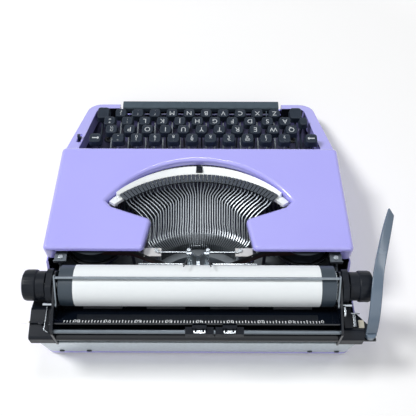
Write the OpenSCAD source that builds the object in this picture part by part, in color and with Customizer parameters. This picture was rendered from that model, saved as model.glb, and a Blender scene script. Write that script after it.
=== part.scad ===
// Portable typewriter with a hinged ribbon cover
// Millimetres. +X is the typist's right, +Y the rear, +Z up.
// The origin is the middle of the four feet, on the surface that they stand on.

/* [Case] */
// Width of the case at its rear
case_rear_w = 288; // [286:1:294]
// Width of the case at the ribbon cover's front edge
case_mid_w = 276; // [274:1:282]
// Width of the case at its front corners
case_front_w = 252; // [250:1:258]
// Distance of the case's front from the middle of the feet
case_front = 148; // [147:0.5:152]
// Distance of the case's rear from the middle of the feet
case_rear = 137.5; // [137:0.5:140]
// Radius of the front corners
front_corner_r = 16; // [10:1:20]
// Radius of the rear corners
rear_corner_r = 9; // [6:1:12]
// Thickness of the moulded walls
wall = 2.2; // [1.8:0.1:2.6]
// Height of the walls' lower edge above the table
case_bottom_z = 3; // [2:0.5:3.5]
// Height of the deck at its front
deck_front_z = 22; // [20:0.5:24]
// Height of the deck at its rear
deck_rear_z = 60; // [58:0.5:61]
// Height of the side walls under the ribbon cover
sill_z = 53; // [50:0.5:53]
// Height of the walls beside the carriage
rear_wall_z = 40; // [36:0.5:42]
// Height of the rear panel
rear_panel_z = 44; // [40:0.5:45.5]
// Thickness of the base pan
pan_t = 2; // [1.5:0.1:2]

/* [Ribbon cover] */
// Distance of the cover's front edge in front of the middle of the feet
cover_front = 52.6; // [51.5:0.1:53]
// Distance of the cover's rear edge behind the middle of the feet
cover_rear = 64.3; // [62:0.1:66]
// Height of the cover's front edge
cover_front_z = 69.7; // [69.5:0.1:71]
// Height of the cover's rear edge
cover_rear_z = 73.8; // [73.6:0.1:76]
// Radius of the arch over the type basket
arch_r = 105.6; // [104.5:0.1:107]
// Depth of the rim round the opening
rim_depth = 8; // [5:0.5:8]
// Radius of the cover's hinge pins
hinge_pin_r = 1.5; // [1.2:0.1:1.7]

/* [Keyboard] */
// Pitch of the keys along a row
key_pitch = 19; // [18.6:0.1:19.2]
// Pitch of the rows from front to back
row_pitch = 19; // [18.5:0.1:19.2]
// Rise from one row to the next
row_rise = 9.9; // [9:0.1:10]
// Width of a key's skirt
key_w = 13.6; // [12:0.1:14.4]
// Depth of a key's skirt
key_d = 13; // [12:0.1:14]
// Height of a key top
key_h = 6.5; // [5:0.1:7]
// Length of the space bar
space_w = 176; // [160:1:178]
// Thickness of a key lever
lever_t = 1.5; // [1:0.1:1.8]
// Radius of the rod that the key levers turn on
fulcrum_r = 2.5; // [2:0.1:3]

/* [Type basket] */
// Number of typebars
bar_count = 42; // [36:2:42]
// Angle between neighbouring typebars
bar_step = 2.165; // [2.1:0.005:2.2]
// Thickness of a typebar
bar_t = 1; // [0.8:0.1:1.1]
// Width of a slot in the segment
slot_w = 1.5; // [1.4:0.1:1.6]
// Tilt of the type basket
basket_tilt = 18.43; // [18:0.01:19]
// Radius of the typebar pivots round the basket's axis
pivot_r = 58; // [57.5:0.1:58.5]
// Depth of the typebar pivots below the print point, along the basket's axis
pivot_drop = 34.5; // [34.2:0.1:34.8]
// Angle that a typebar swings through
bar_swing = 100; // [99:0.5:101]
// Radius of the wire that the typebars turn on
wire_r = 1; // [0.8:0.1:1.1]
// Height of a type slug
slug_h = 10; // [8:0.5:10.5]
// Width of a type slug
slug_w = 3; // [2:0.1:3.2]

/* [Ribbon] */
// Distance of each spool behind the middle of the feet
spool_y = 41; // [39:0.5:42]
// Radius of a spool's flanges
spool_r = 26; // [22:0.5:26.5]
// Radius of the ribbon wound on a spool
wound_r = 19; // [14:0.5:20]
// Width of the ribbon
ribbon_w = 13; // [12.5:0.1:13.2]
// Radius of a spool's spindle
spindle_r = 3; // [2:0.1:4]

/* [Carriage] */
// Radius of the platen
platen_r = 17.5; // [16.5:0.1:18]
// Half the length of the platen
platen_half = 117.5; // [116:0.5:117.5]
// Distance of the platen's axis behind the middle of the feet
platen_y = 101; // [100:0.5:102]
// Height of the platen's axis
platen_z = 77; // [76:0.5:78]
// Radius of the platen's shaft
shaft_r = 3; // [2.5:0.1:3.4]
// Radius of the platen knobs
knob_r = 13.6; // [12:0.1:14]
// Width of the sheet of paper
paper_w = 210; // [148:1:216]
// Inner faces of the carriage's end plates, from the middle of the carriage
end_plate_x = 121; // [121:0.5:121.5]
// Thickness of the end plates
end_plate_t = 2; // [1.5:0.1:2]
// Radius of the paper bail's rod
bail_r = 1.2; // [1:0.1:1.5]
// Radius of the margin rail
rail_rod_r = 2; // [1.5:0.1:2.2]
// Radius of the rods that the carriage runs on
track_r = 4; // [3:0.1:4.2]
// Length of the carriage truck
truck_w = 230; // [220:2:236]
// Teeth on the escapement's pinion
pinion_teeth = 20; // [18:1:22]

/* [Feet] */
// Distance between the feet from left to right
foot_dx = 210; // [206:1:214]
// Distance between the feet from front to back
foot_dy = 220; // [214:1:222]
// Radius of a foot
foot_r = 9; // [7:0.5:11]
// Radius of the bore through a foot
foot_bore_r = 2.1; // [1.5:0.1:2.5]

/* [Hidden] */
$fn = 48;

// Clearances
run_fit = 0.05;
seat_fit = 0.02;
free_gap = 0.3;
past = 1;
tall = 99;

// Case levels and planes
pan_z = case_bottom_z + 1;
pan_top = pan_z + pan_t;
deck_run = case_front - cover_front - 2;
deck_back_y = -cover_front - 2;
well_front_w = case_front_w - 19;
well_rear_w = case_mid_w - 27;
well_front_y = 9 - case_front;
well_rear_y = deck_back_y - 1;
well_wall_h = 16;
well_corner_r = 8;
panel_front_y = case_rear - 7.5;
panel_bottom_z = 7;
notch_floor_z = 14;
apron_y = deck_back_y - 8.9;
apron_z = sill_z - 11;
apron_t = 2;
foot_neck_r = 4;
selector_y = -78;
selector_x = well_half(selector_y) + wall + 2.4;
selector_z = 38;

// Axles of the carriage drive, and the ears of the base pan that hold them
axle_r = 2;
ear_y = [case_rear - 4.3, case_rear - 2.7];
drum_x = -88;
drum_z = 24;
drum_r = 15;

// Frame plates and rods
frame_x = min(case_mid_w, case_rear_w) / 2 - 8;
frame_t = 2;
frame_step_y = cover_rear - 6.3;
track_z = platen_z - 43;
track_ys = [platen_y - 5, case_rear - 19.5];
fulcrum_y = platen_y - 39;
fulcrum_z = pan_top + 4.2;
fulcrum_hub_r = fulcrum_r + 1.5;
hinge_y = -cover_front + 6.1;
hinge_z = cover_front_z - 5.7;
hinge_ear = 2.8;
frame_top_z = hinge_z;

// Key rows from the back: place of the first key, number of keys
number_row = [-87, 10];
top_row = [number_row[0] - key_pitch / 2, 11];
home_row = [top_row[0] + key_pitch / 4, 11];
bottom_row = [home_row[0] + key_pitch / 2, 10];
number_y = -68;
number_z = 65;
h_index = 5;
lever_h = 4;
lever_rise = 0.079;
shift_w = 14.6;
shift_d = 17;
left_shift_x = bottom_row[0] - 1.25 * key_pitch;
right_shift_x = bottom_row[0] + 10 * key_pitch + 0.45;
lock_x = home_row[0] - 20.05;
lock_w = 10;
lock_d = 12;
backspace_x = number_row[0] + 10 * key_pitch + 4.3;
release_x = 15.5 - frame_x;
space_y = [1 - case_front, 12 - case_front];
space_z = [deck_front_z + 0.5, deck_front_z + 8];
space_lever_t = 1.2;
space_lever_off = (key_pitch / 2 - key_w / 2 + lever_t / 2) / 2;
space_lever_rise = 0.066;

// Type basket, in the plane of a typebar: distance from the basket's axis, depth along it
paper_gap = 0.15;
paper_t = 0.2;
sheet_r = platen_r + paper_gap + paper_t;
strike_gap = 2.85;
print_y = platen_y - sheet_r - strike_gap;
pivot = [pivot_r, pivot_drop];
bar_len = norm(pivot);
bar_dir = -pivot / bar_len;
bar_side = [-bar_dir[1], bar_dir[0]];
bar_hub_r = wire_r + 1.4;
slug_t = 2.5;
half_fan = bar_step * (bar_count - 1) / 2;
h_bar = bar_count / 2;
segment_half = half_fan + 4;
segment_in = pivot_r - 17;
rest_at = pivot + turned(-pivot, bar_swing);
rest_top = rest_at[1] + slug_t + 3 * free_gap;
rest_t = 3;

// Plan of the cover round the basket: top of the arch, end of the arch, throat behind it
arch_top_y = print_y - 116.7;
arch_y = arch_top_y + arch_r;
arch_tip_y = print_y - 69.3;
arch_tip_a = asin((arch_y - arch_tip_y) / arch_r);
arch_steps = 28;
wing_tip = [83, print_y - 63.3];
throat = [44, print_y - 49.3];
throat_rear_x = 50.5;

// Ribbon path
spool_x = frame_x - spool_r - 6;
spool_bottom_z = sill_z - 2;
flange_t = 1.2;
ribbon_z = spool_bottom_z + flange_t + 0.6;
ribbon_t = 0.3;
ribbon_y = print_y + 0.5;
arm_x = 45;
arm_y = print_y - 29.3;
arm_d = 10;
arm_z = platen_z - 54;
arm_h = 9;
post_x = 62;
post_y = arm_y + 7;
post_r = 2;
guide_y = print_y - 10.3;
guide_t = 2;
vibrator_y = guide_y + guide_t + 0.4;
fork_x = 6;
prong_w = 5;
card_y = platen_y - sheet_r - 1.1;

// Carriage levels
carriage_bottom_z = platen_z - 29.5;
carriage_front_y = platen_y - platen_r + 1;
carriage_back_y = platen_y + 43.2;
sheet_t = 1.5;
truck_z = carriage_bottom_z - 5.5;
truck_t = 3.5;
truck_front_y = track_ys[0] - 6;
truck_back_y = track_ys[1] + 6;
rack_d = 5;
tooth_pitch = PI;
pinion_r = pinion_teeth / 2;
pinion_z = truck_z - pinion_r;
back_rail_y = [carriage_back_y - 5.6, carriage_back_y];
tray_back_y = back_rail_y[0] + sheet_t;
rear_rod_y = platen_y + 39;
rear_rod_z = platen_z - 7;
bail_pivot = [platen_y + 18, platen_z + 1];
bail_rod_at = [platen_y + 2, platen_z + sheet_r + bail_r + 1.1];
bail_pin_r = 2;
bail_arm_x = end_plate_x - 1.6;
cover_x = end_plate_x + end_plate_t + 0.3;
end_cover_t = 5.2;
knob_gap = 1.5;
knob_collar = 8.5;
knob_grip = 11.5;
knob_in = cover_x + end_cover_t + knob_gap;
knob_out = knob_in + knob_collar + knob_grip;
roller_r = 4.5;
roller_reach = sheet_r + roller_r + free_gap;
roller_pin_r = 1.5;
roller_angles = [-115, -65];
roller_xs = [-84, -28, 28, 84];
roller_half = 17;
stop_xs = [-27.5, -2];
stop_w = 24;
table_low = [platen_y + 17, platen_z - 15];
table_high = [platen_y + 35, platen_z - 2];
bracket_z = carriage_bottom_z + 7.5;
bracket_t = 2.5;
core_r = 12;
foot_top_z = platen_z - 11;
foot_out_x = [knob_in + 13, knob_in + 14.6];
left_foot_y = platen_y + 32.5;
lever_pivot = [-foot_out_x[0] - 6, carriage_back_y - 5.7];
lever_pin_r = 3;
lever_hub_r = 4.7;
lever_pin_top = bracket_z + 8;
release_at = [platen_y + 26, platen_z - 12];
release_pin_r = 1.5;
clutch_at = [cover_x + 10.7, platen_y + 30];
clutch_pin_r = 1.5;
lift_pin_x = 60;
lift_pin_r = 2.5;
lift_pin_top = platen_z - platen_r - 3.5;

// Places along the return lever's blade: x and y from its pivot, height above the platen's axis, half width
blade = [
    [0, 0, -13, 4.8], [0.2, -6, 1, 4.8], [-0.8, -21.5, 14.6, 4.8],
    [-4, -42.5, 19.1, 4.6], [-11, -65, 20.6, 4.5], [-22.5, -99.5, 22, 4.2]
];

// Corner rounding for outlines: each point is [x, y, radius]
function unit(v) = v / norm(v);
function turned(v, a) = [v[0] * cos(a) - v[1] * sin(a), v[0] * sin(a) + v[1] * cos(a)];
function short_turn(a) = a > 180 ? a - 360 : a < -180 ? a + 360 : a;
function fillet(p0, p1, p2, r, n) = r == 0 ? [p1] : let(
    u = unit(p0 - p1),
    w = unit(p2 - p1),
    half = acos(u * w) / 2,
    c = p1 + unit(u + w) * r / sin(half),
    s = p1 + u * r / tan(half) - c,
    e = p1 + w * r / tan(half) - c,
    a = atan2(s[1], s[0]),
    d = short_turn(atan2(e[1], e[0]) - a)
) [for (i = [0:n]) c + r * [cos(a + d * i / n), sin(a + d * i / n)]];
function plan(pts, i) = let(p = pts[(i + len(pts)) % len(pts)]) [p[0], p[1]];
function rounded(pts, n = 6) = [
    for (i = [0:len(pts) - 1]) each fillet(plan(pts, i - 1), plan(pts, i), plan(pts, i + 1), pts[i][2], n)
];
function mirrored(pts) = [for (i = [len(pts) - 1:-1:0]) [-pts[i][0], pts[i][1], pts[i][2]]];
function rounded_box(w, d, r) = rounded([
    [w / 2, -d / 2, r], [w / 2, d / 2, r], [-w / 2, d / 2, r], [-w / 2, -d / 2, r]
]);
function mix(a, b, t) = a + (b - a) * t;

// Outlines of the case and its cover, drawn in by an inset
function case_outline(inset) = let(right = [
    [case_front_w / 2 - inset, -case_front + inset, front_corner_r - inset],
    [case_mid_w / 2 - inset, -cover_front, 0],
    [case_rear_w / 2 - inset, case_rear - inset, rear_corner_r - inset]
]) rounded(concat(right, mirrored(right)));
function case_half(y) = mix(case_mid_w, case_rear_w, (y + cover_front) / (case_rear + cover_front)) / 2;
function well_half(y) = mix(well_front_w, well_rear_w, (y - well_front_y) / (well_rear_y - well_front_y)) / 2;
function deck_z(y) = mix(deck_front_z, deck_rear_z, (y + case_front) / deck_run);
function cover_z(y) = mix(cover_front_z, cover_rear_z, (y + cover_front) / (cover_rear + cover_front));

function arch(inset) = [
    for (i = [0:arch_steps])
        let(a = mix(-arch_tip_a, arch_tip_a - 180, i / arch_steps))
            [(arch_r + inset) * cos(a), arch_y + (arch_r + inset) * sin(a), 0]
];
function cover_outline(inset) = let(right = [
    [case_half(-cover_front) - inset, -cover_front + inset, 5],
    [case_half(cover_rear) - inset, cover_rear - inset, 4],
    [throat_rear_x + inset, cover_rear - inset, 4],
    [throat[0] + inset, throat[1] + inset * 0.9, 5],
    [wing_tip[0] + inset * 0.4, wing_tip[1] + inset, 2]
]) rounded(concat(right, arch(inset), mirrored(right)));

function key_x(row, i) = row[0] + i * key_pitch;
function row_y(r) = number_y - r * row_pitch;
function row_z(r) = number_z - r * row_rise;
function lever_z(y, rise) = fulcrum_z + (fulcrum_y - y) * rise;

// Shapes along the axes
module x_profile(x0, x1, pts) {
    translate([x0, 0, 0]) rotate([90, 0, 90]) linear_extrude(x1 - x0) polygon(pts);
}
module x_rod(r, x0, x1, y, z) {
    translate([x0, y, z]) rotate([0, 90, 0]) cylinder(r = r, h = x1 - x0);
}
module y_rod(r, y0, y1, x, z) {
    translate([x, y1, z]) rotate([90, 0, 0]) cylinder(r = r, h = y1 - y0);
}
module block(lo, hi) {
    translate(lo) cube(hi - lo);
}
module both_sides() {
    children();
    mirror([1, 0, 0]) children();
}

// The type basket's own frame: X away from its axis, Z down along it, at the print point
module in_basket() {
    translate([0, print_y, platen_z]) rotate([180 + basket_tilt, 0, 0]) rotate([0, 0, 90]) children();
}
module sector(half) {
    rotate([0, 0, -half]) rotate_extrude(angle = 2 * half) children();
}

// Case
module at_feet() {
    for (x = [-1, 1], y = [-1, 1]) translate([x * foot_dx / 2, y * foot_dy / 2, 0]) children();
}
module base_pan() {
    color("dimgray") difference() {
        union() {
            translate([0, 0, pan_z]) linear_extrude(pan_t) polygon(case_outline(wall + free_gap));
            for (p = [[0, pinion_z], [drum_x, drum_z]])
                block([p[0] - 8, ear_y[0], pan_top], [p[0] + 8, ear_y[1], p[1] + 4]);
        }
        at_feet() cylinder(r = foot_neck_r + seat_fit, h = pan_top + past);
        for (p = [[0, pinion_z], [drum_x, drum_z]])
            y_rod(axle_r + run_fit, ear_y[0] - past, ear_y[1] + past, p[0], p[1]);
    }
}

module case_ring() {
    linear_extrude(deck_rear_z + past) difference() {
        polygon(case_outline(0));
        polygon(case_outline(wall));
    }
}
module case_walls() {
    intersection() {
        case_ring();
        x_profile(-case_rear_w, case_rear_w, [
            [-case_front - past, case_bottom_z], [-case_front - past, deck_z(-case_front - past)],
            [deck_back_y, deck_rear_z], [deck_back_y, sill_z], [cover_rear + 2, sill_z],
            [cover_rear + 8, rear_wall_z], [case_rear + past, rear_wall_z], [case_rear + past, case_bottom_z]
        ]);
    }
}
module well(grow) {
    polygon(rounded([
        [well_front_w / 2 + grow, well_front_y - grow, well_corner_r],
        [well_rear_w / 2 + grow, well_rear_y, 0],
        [-well_rear_w / 2 - grow, well_rear_y, 0],
        [-well_front_w / 2 - grow, well_front_y - grow, well_corner_r]
    ]));
}
module under_deck(depth) {
    x_profile(-case_rear_w, case_rear_w, [
        [-case_front - past, deck_z(-case_front - past)], [deck_back_y, deck_rear_z],
        [deck_back_y, deck_rear_z - depth], [-case_front - past, deck_z(-case_front - past) - depth]
    ]);
}
module body_shell() {
    color("#9A90EE") {
        difference() {
            union() {
                case_walls();
                intersection() {
                    linear_extrude(deck_rear_z + past) polygon(case_outline(0));
                    under_deck(wall);
                }
                intersection() {
                    linear_extrude(deck_rear_z + past) well(wall);
                    under_deck(well_wall_h);
                }
                x_rod(hinge_pin_r, selector_x - 4.5, selector_x + 6, selector_y, selector_z);
            }
            linear_extrude(deck_rear_z + 2 * past) well(0);
            block(
                [-space_w / 2 - 4, -case_front - past, notch_floor_z],
                [space_w / 2 + 4, well_front_y + past, tall]
            );
            block(
                [selector_x - 1.8, selector_y - 7, selector_z + 8],
                [selector_x + 1.8, selector_y + 7, tall]
            );
            block([-case_rear_w, panel_front_y, panel_bottom_z], [case_rear_w, case_rear + past, tall]);
        }
        x_profile(-well_rear_w / 2 - 0.2, well_rear_w / 2 + 0.2, [
            [apron_y, apron_z], [well_rear_y, sill_z - 2.5], [well_rear_y, sill_z - 2.5 + apron_t],
            [apron_y, apron_z + apron_t]
        ]);
    }
}
module rear_panel() {
    color("lightsteelblue") intersection() {
        case_ring();
        block(
            [-case_rear_w, panel_front_y + free_gap, panel_bottom_z + free_gap],
            [case_rear_w, case_rear + past, rear_panel_z]
        );
    }
}
module rubber_feet() {
    color("#22252B") at_feet() rotate_extrude() polygon([
        [foot_bore_r, 0], [foot_r - 1, 0], [foot_r, pan_z], [foot_neck_r, pan_z], [foot_neck_r, pan_top],
        [foot_neck_r + 1.2, pan_top], [foot_neck_r + 0.4, pan_top + 1.2], [foot_bore_r, pan_top + 1.2]
    ]);
}
module side_frames() {
    color("slategray") both_sides() difference() {
        union() {
            x_profile(frame_x, frame_x + frame_t, [
                [hinge_y + 10, pan_top], [hinge_y + 10, hinge_z - 4], [hinge_y, hinge_z - hinge_ear],
                [hinge_y - hinge_ear, hinge_z - 1], [hinge_y - hinge_ear, hinge_z + 1.2],
                [hinge_y - 1.2, hinge_z + hinge_ear], [hinge_y + 12, hinge_z + hinge_ear],
                [hinge_y + 16, frame_top_z], [frame_step_y, frame_top_z],
                [frame_step_y + 8, rear_wall_z], [track_ys[1] + 8, rear_wall_z], [track_ys[1] + 8, pan_top]
            ]);
            block([frame_x - 5, hinge_y + 10, pan_top], [frame_x + frame_t, track_ys[1] + 8, pan_top + 1.5]);
        }
        x_rod(hinge_pin_r + seat_fit, frame_x - past, frame_x + 5, hinge_y, hinge_z);
        x_rod(fulcrum_r + seat_fit, frame_x - past, frame_x + 5, fulcrum_y, fulcrum_z);
        for (y = track_ys) x_rod(track_r + seat_fit, frame_x - past, frame_x + 5, y, track_z);
    }
}
module carriage_rails() {
    color("silver") for (y = track_ys) x_rod(track_r, -frame_x - frame_t, frame_x + frame_t, y, track_z);
}
module key_fulcrum_rod() {
    color("silver") x_rod(fulcrum_r, -frame_x - frame_t, frame_x + frame_t, fulcrum_y, fulcrum_z);
}
module cover_hinge_pins() {
    color("silver") both_sides() x_rod(hinge_pin_r, frame_x - 12, frame_x + frame_t, hinge_y, hinge_z);
}

// Ribbon cover
module cover_band(depth) {
    x_profile(-case_rear_w, case_rear_w, [
        [-cover_front - past, cover_z(-cover_front - past)], [cover_rear + past, cover_z(cover_rear + past)],
        [cover_rear + past, cover_z(cover_rear + past) - depth],
        [-cover_front - past, cover_z(-cover_front - past) - depth]
    ]);
}
module cover_ring() {
    linear_extrude(cover_rear_z + 2 * past) difference() {
        polygon(cover_outline(0));
        polygon(cover_outline(wall));
    }
}
module ribbon_cover() {
    lip = 3;
    skirt_in = 8;
    skirt_z = sill_z + 2.2;
    lug_r = hinge_pin_r + 1.7;
    color("#A49BF7") difference() {
        union() {
            intersection() {
                linear_extrude(cover_rear_z + 2 * past) polygon(cover_outline(0));
                cover_band(wall);
            }
            intersection() {
                cover_ring();
                cover_band(rim_depth);
                block([-case_rear_w, -cover_front - past, 0], [case_rear_w, cover_rear - wall - past, tall]);
            }
            intersection() {
                cover_ring();
                cover_band(lip);
            }
            intersection() {
                cover_ring();
                cover_band(tall);
                union() {
                    block(
                        [-case_rear_w, -cover_front - past, hinge_z - 6],
                        [case_rear_w, wall - cover_front, tall]
                    );
                    both_sides() block(
                        [case_half(-cover_front) - skirt_in, -cover_front - past, skirt_z],
                        [case_rear_w, cover_rear + past, tall]
                    );
                }
            }
            both_sides() {
                x_rod(lug_r, frame_x - 8, frame_x - 4, hinge_y, hinge_z);
                block(
                    [frame_x - 8, hinge_y - lug_r, hinge_z],
                    [frame_x - 4, hinge_y + lug_r, cover_z(hinge_y) - wall / 2]
                );
            }
        }
        x_rod(hinge_pin_r + run_fit, -frame_x, frame_x, hinge_y, hinge_z);
    }
}

// Type basket
module segment() {
    top = pivot_drop - 11.5;
    bottom = pivot_drop + 5;
    shelf = pivot_drop - 3;
    inner = pivot_r - 8;
    outer = pivot_r + 7;
    color("gray") difference() {
        union() {
            in_basket() sector(segment_half) polygon([
                [segment_in, shelf], [inner, shelf], [inner, top], [outer, top], [outer, bottom - 4],
                [outer - 5, bottom], [segment_in, bottom]
            ]);
            both_sides() block([arm_x, arm_y, arm_z], [frame_x, arm_y + arm_d, arm_z + arm_h]);
        }
        in_basket() {
            for (i = [0:bar_count - 1]) rotate([0, 0, bar_angle(i)]) block(
                [inner - past / 2, -slot_w / 2, top - 9],
                [outer + 9, slot_w / 2, pivot_drop + bar_hub_r + free_gap]
            );
            sector(segment_half + 1) translate(pivot) circle(wire_r + seat_fit);
        }
    }
}
function bar_angle(i) = (i - (bar_count - 1) / 2) * bar_step;
module fulcrum_wire() {
    color("silver") in_basket() sector(segment_half - 1) translate(pivot) circle(wire_r);
}

// One typebar at rest; its shape is drawn where it strikes and turned back about its pivot
module typebar(i) {
    bar_h = 2.6;
    kink = 1.6;
    face = [-cos(basket_tilt), sin(basket_tilt)];
    up = [sin(basket_tilt), cos(basket_tilt)];
    heel = -face * slug_t;
    function at(s, t) = pivot + bar_dir * s + bar_side * t;
    in_basket() rotate([90, 0, bar_angle(i)]) translate(pivot) rotate(bar_swing) translate(-pivot) {
        difference() {
            linear_extrude(bar_t, center = true) {
                polygon([
                    at(0, -bar_h / 2), at(12, -bar_h / 2), at(18, kink - bar_h / 2),
                    at(bar_len - 4, kink - bar_h / 2), heel + up * 2, heel - up * 2,
                    at(bar_len - 8, kink + bar_h / 2), at(17, kink + bar_h / 2), at(11, bar_h / 2),
                    at(0, bar_h / 2)
                ]);
                translate(pivot) circle(bar_hub_r);
            }
            translate(pivot) cylinder(r = wire_r + run_fit, h = 9, center = true);
        }
        linear_extrude(slug_w, center = true) polygon([
            up * slug_h / 2, heel + up * (slug_h / 2 - 1), heel - up * (slug_h / 2 - 1), -up * slug_h / 2
        ]);
    }
}
module typebars() {
    color("slategray") for (i = [0:bar_count - 1]) if (i != h_bar) typebar(i);
}
module h_typebar() {
    color("slategray") typebar(h_bar);
}
module within_arch() {
    intersection() {
        children();
        translate([0, arch_y, 0]) cylinder(r = arch_r - 1.2, h = tall, $fn = 96);
    }
}
module type_rest() {
    arm_lo = frame_top_z - 4.5;
    arm_x = wing_tip[0] - 4.5;
    arm_y = [arch_tip_y - 8, arch_tip_y];
    rest_in = rest_at[0] + 1.5;
    flange_in = rest_at[0] + slug_h / 2 + 2 * free_gap;
    rest_out = rest_at[0] + 19;
    color("whitesmoke") {
        within_arch() in_basket() sector(half_fan + 6.5) polygon([
            [rest_in, rest_top], [rest_out, rest_top],
            [rest_out, rest_top + rest_t], [rest_in, rest_top + rest_t]
        ]);
        within_arch() in_basket() sector(half_fan + 1.5) polygon([
            [flange_in, rest_top - 3.5], [rest_out - past, rest_top - 12],
            [rest_out - past, rest_top + rest_t / 2], [flange_in, rest_top + rest_t / 2]
        ]);
        both_sides() {
            block([arm_x, arm_y[0], arm_lo], [frame_x, arm_y[1], arm_lo + 3]);
            block([arm_x, arm_y[0] + 2, arm_lo], [arm_x + 3.5, arm_y[1], frame_top_z + 3]);
        }
    }
}
module type_guide() {
    guide_w = 20;
    notch_z = platen_z - 20;
    low_z = arm_z + 1;
    color("darkgray") difference() {
        union() {
            block([-guide_w / 2, guide_y, low_z], [guide_w / 2, guide_y + guide_t, platen_z + 3]);
            block([-guide_w / 2, guide_y - 32, low_z], [guide_w / 2, guide_y + guide_t, low_z + 3.5]);
        }
        block([-1.5, guide_y - past, notch_z], [1.5, guide_y + guide_t + past, tall]);
        translate([0, guide_y - past, platen_z + 3]) rotate([-90, 0, 0]) linear_extrude(4) polygon([
            [-6, -past], [6, -past], [0, 9]
        ]);
        in_basket() sector(segment_half) polygon([
            [segment_in, 0], [pivot_r + 9, 0], [pivot_r + 9, tall], [segment_in, tall]
        ]);
    }
}
module card_guides() {
    card_t = 0.8;
    foot_x = [arm_x + 2, arm_x + 7];
    foot_z = spool_bottom_z - 1;
    color("silver") both_sides() {
        block([fork_x + prong_w + 2, card_y, platen_z - 15], [foot_x[1], card_y + card_t, platen_z + 5]);
        block([foot_x[0], card_y, foot_z], [foot_x[1], card_y + card_t, platen_z]);
        block([foot_x[0], arm_y + arm_d - 2, foot_z], [foot_x[1], card_y + card_t, foot_z + 1.5]);
        block([foot_x[0], arm_y + arm_d - 2, arm_z + arm_h], [foot_x[1], arm_y + arm_d - 0.5, foot_z + 1.5]);
    }
}

// Ribbon
module spool_cups() {
    cup_z = spool_bottom_z - 3;
    cup_t = 1.5;
    cup_r = spool_r + 2;
    color("#23262C") both_sides() {
        translate([spool_x, spool_y, cup_z]) {
            difference() {
                cylinder(r = cup_r + cup_t, h = 5);
                translate([0, 0, cup_t]) cylinder(r = cup_r, h = 9);
            }
            cylinder(r = spindle_r + 3, h = spool_bottom_z - cup_z - 0.2);
            cylinder(r = spindle_r, h = spool_bottom_z - cup_z + ribbon_w + 4);
        }
        block([spool_x + cup_r, spool_y - 9, cup_z], [frame_x, spool_y + 9, cup_z + cup_t]);
        translate([post_x, post_y, arm_z + arm_h])
            cylinder(r = post_r, h = ribbon_z + ribbon_w + 2 - arm_z - arm_h);
    }
}
module spool() {
    flange_z = 2 * 0.6 + ribbon_w;
    translate([spool_x, spool_y, spool_bottom_z]) difference() {
        union() {
            cylinder(r = spool_r, h = flange_t);
            cylinder(r = wound_r, h = flange_t + flange_z);
            translate([0, 0, flange_t + flange_z]) cylinder(r = spool_r, h = flange_t);
        }
        translate([0, 0, -past]) cylinder(r = spindle_r + run_fit, h = tall);
    }
}
module left_spool() {
    color("#2B2F36") mirror([1, 0, 0]) spool();
}
module right_spool() {
    color("#2B2F36") spool();
}
module ribbon() {
    a = 110;
    off = (wound_r + free_gap) * [cos(a), sin(a)];
    end = [spool_x, spool_y] + off;
    bend = [post_x, post_y + post_r + free_gap];
    fork = [fork_x + prong_w + 1, ribbon_y];
    right = [end, bend, fork];
    left = [for (i = [2:-1:0]) [-right[i][0], right[i][1]]];
    path = concat(right, left);
    color("#15161A") translate([0, 0, ribbon_z]) linear_extrude(ribbon_w) polygon(concat(
        path, [for (i = [len(path) - 1:-1:0]) path[i] + [0, ribbon_t]]
    ));
}
module ribbon_vibrator() {
    shelf_z = spool_bottom_z - 3;
    fork_y = ribbon_y - 1.8;
    color("silver") {
        block([-5, vibrator_y, arm_z + 11], [5, vibrator_y + 1.2, shelf_z + 2]);
        block([-fork_x - prong_w, vibrator_y, shelf_z], [fork_x + prong_w, fork_y + 1, shelf_z + 2]);
        both_sides() block(
            [fork_x, fork_y, shelf_z], [fork_x + prong_w, fork_y + 1, ribbon_z + ribbon_w + 3]
        );
    }
}

// Keys
module key_lever(x, y, top_z, t = lever_t, rise = lever_rise) {
    end_z = lever_z(y, rise) - lever_h / 2;
    half = lever_h / 2;
    difference() {
        union() {
            x_profile(x - t / 2, x + t / 2, [
                [fulcrum_y, fulcrum_z - half], [y - half, end_z], [y - half, top_z], [y + half, top_z],
                [y + half, lever_z(y + half, rise) + half], [fulcrum_y, fulcrum_z + half]
            ]);
            x_rod(fulcrum_hub_r, x - t / 2, x + t / 2, fulcrum_y, fulcrum_z);
        }
        x_rod(fulcrum_r + run_fit, x - t, x + t, fulcrum_y, fulcrum_z);
    }
}
module key_top(x, y, z, w, d) {
    translate([x, y, z - key_h]) {
        linear_extrude(key_h / 2) polygon(rounded_box(w, d, 3));
        linear_extrude(key_h) polygon(rounded_box(w - 1.8, d - 1.8, 3));
    }
}
module row_keys(row, r, skip = -1) {
    color("#1E2530") for (i = [0:row[1] - 1]) if (i != skip)
        key_top(key_x(row, i), row_y(r), row_z(r), key_w, key_d);
}
module row_levers(row, r, skip = -1) {
    color("slategray") for (i = [0:row[1] - 1]) if (i != skip)
        key_lever(key_x(row, i), row_y(r), row_z(r) - key_h);
}
module number_row_keys() { row_keys(number_row, 0); }
module top_row_keys() { row_keys(top_row, 1); }
module home_row_keys() { row_keys(home_row, 2, h_index); }
module bottom_row_keys() { row_keys(bottom_row, 3); }
module number_row_levers() { row_levers(number_row, 0); }
module top_row_levers() { row_levers(top_row, 1); }
module home_row_levers() { row_levers(home_row, 2, h_index); }
module bottom_row_levers() { row_levers(bottom_row, 3); }
module service_key(x, r, lever_x, w, d) {
    color("#1E2530") {
        key_top(x, row_y(r), row_z(r), w, d);
        key_lever(lever_x, row_y(r), row_z(r) - key_h);
    }
}
module h_key() { service_key(key_x(home_row, h_index), 2, key_x(home_row, h_index), key_w, key_d); }
module left_shift_key() { service_key(left_shift_x, 3, left_shift_x, shift_w, shift_d); }
module right_shift_key() { service_key(right_shift_x, 3, right_shift_x + 1.8, shift_w, shift_d); }
module shift_lock_key() { service_key(lock_x, 2, lock_x + 0.8, lock_w, lock_d); }
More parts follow.
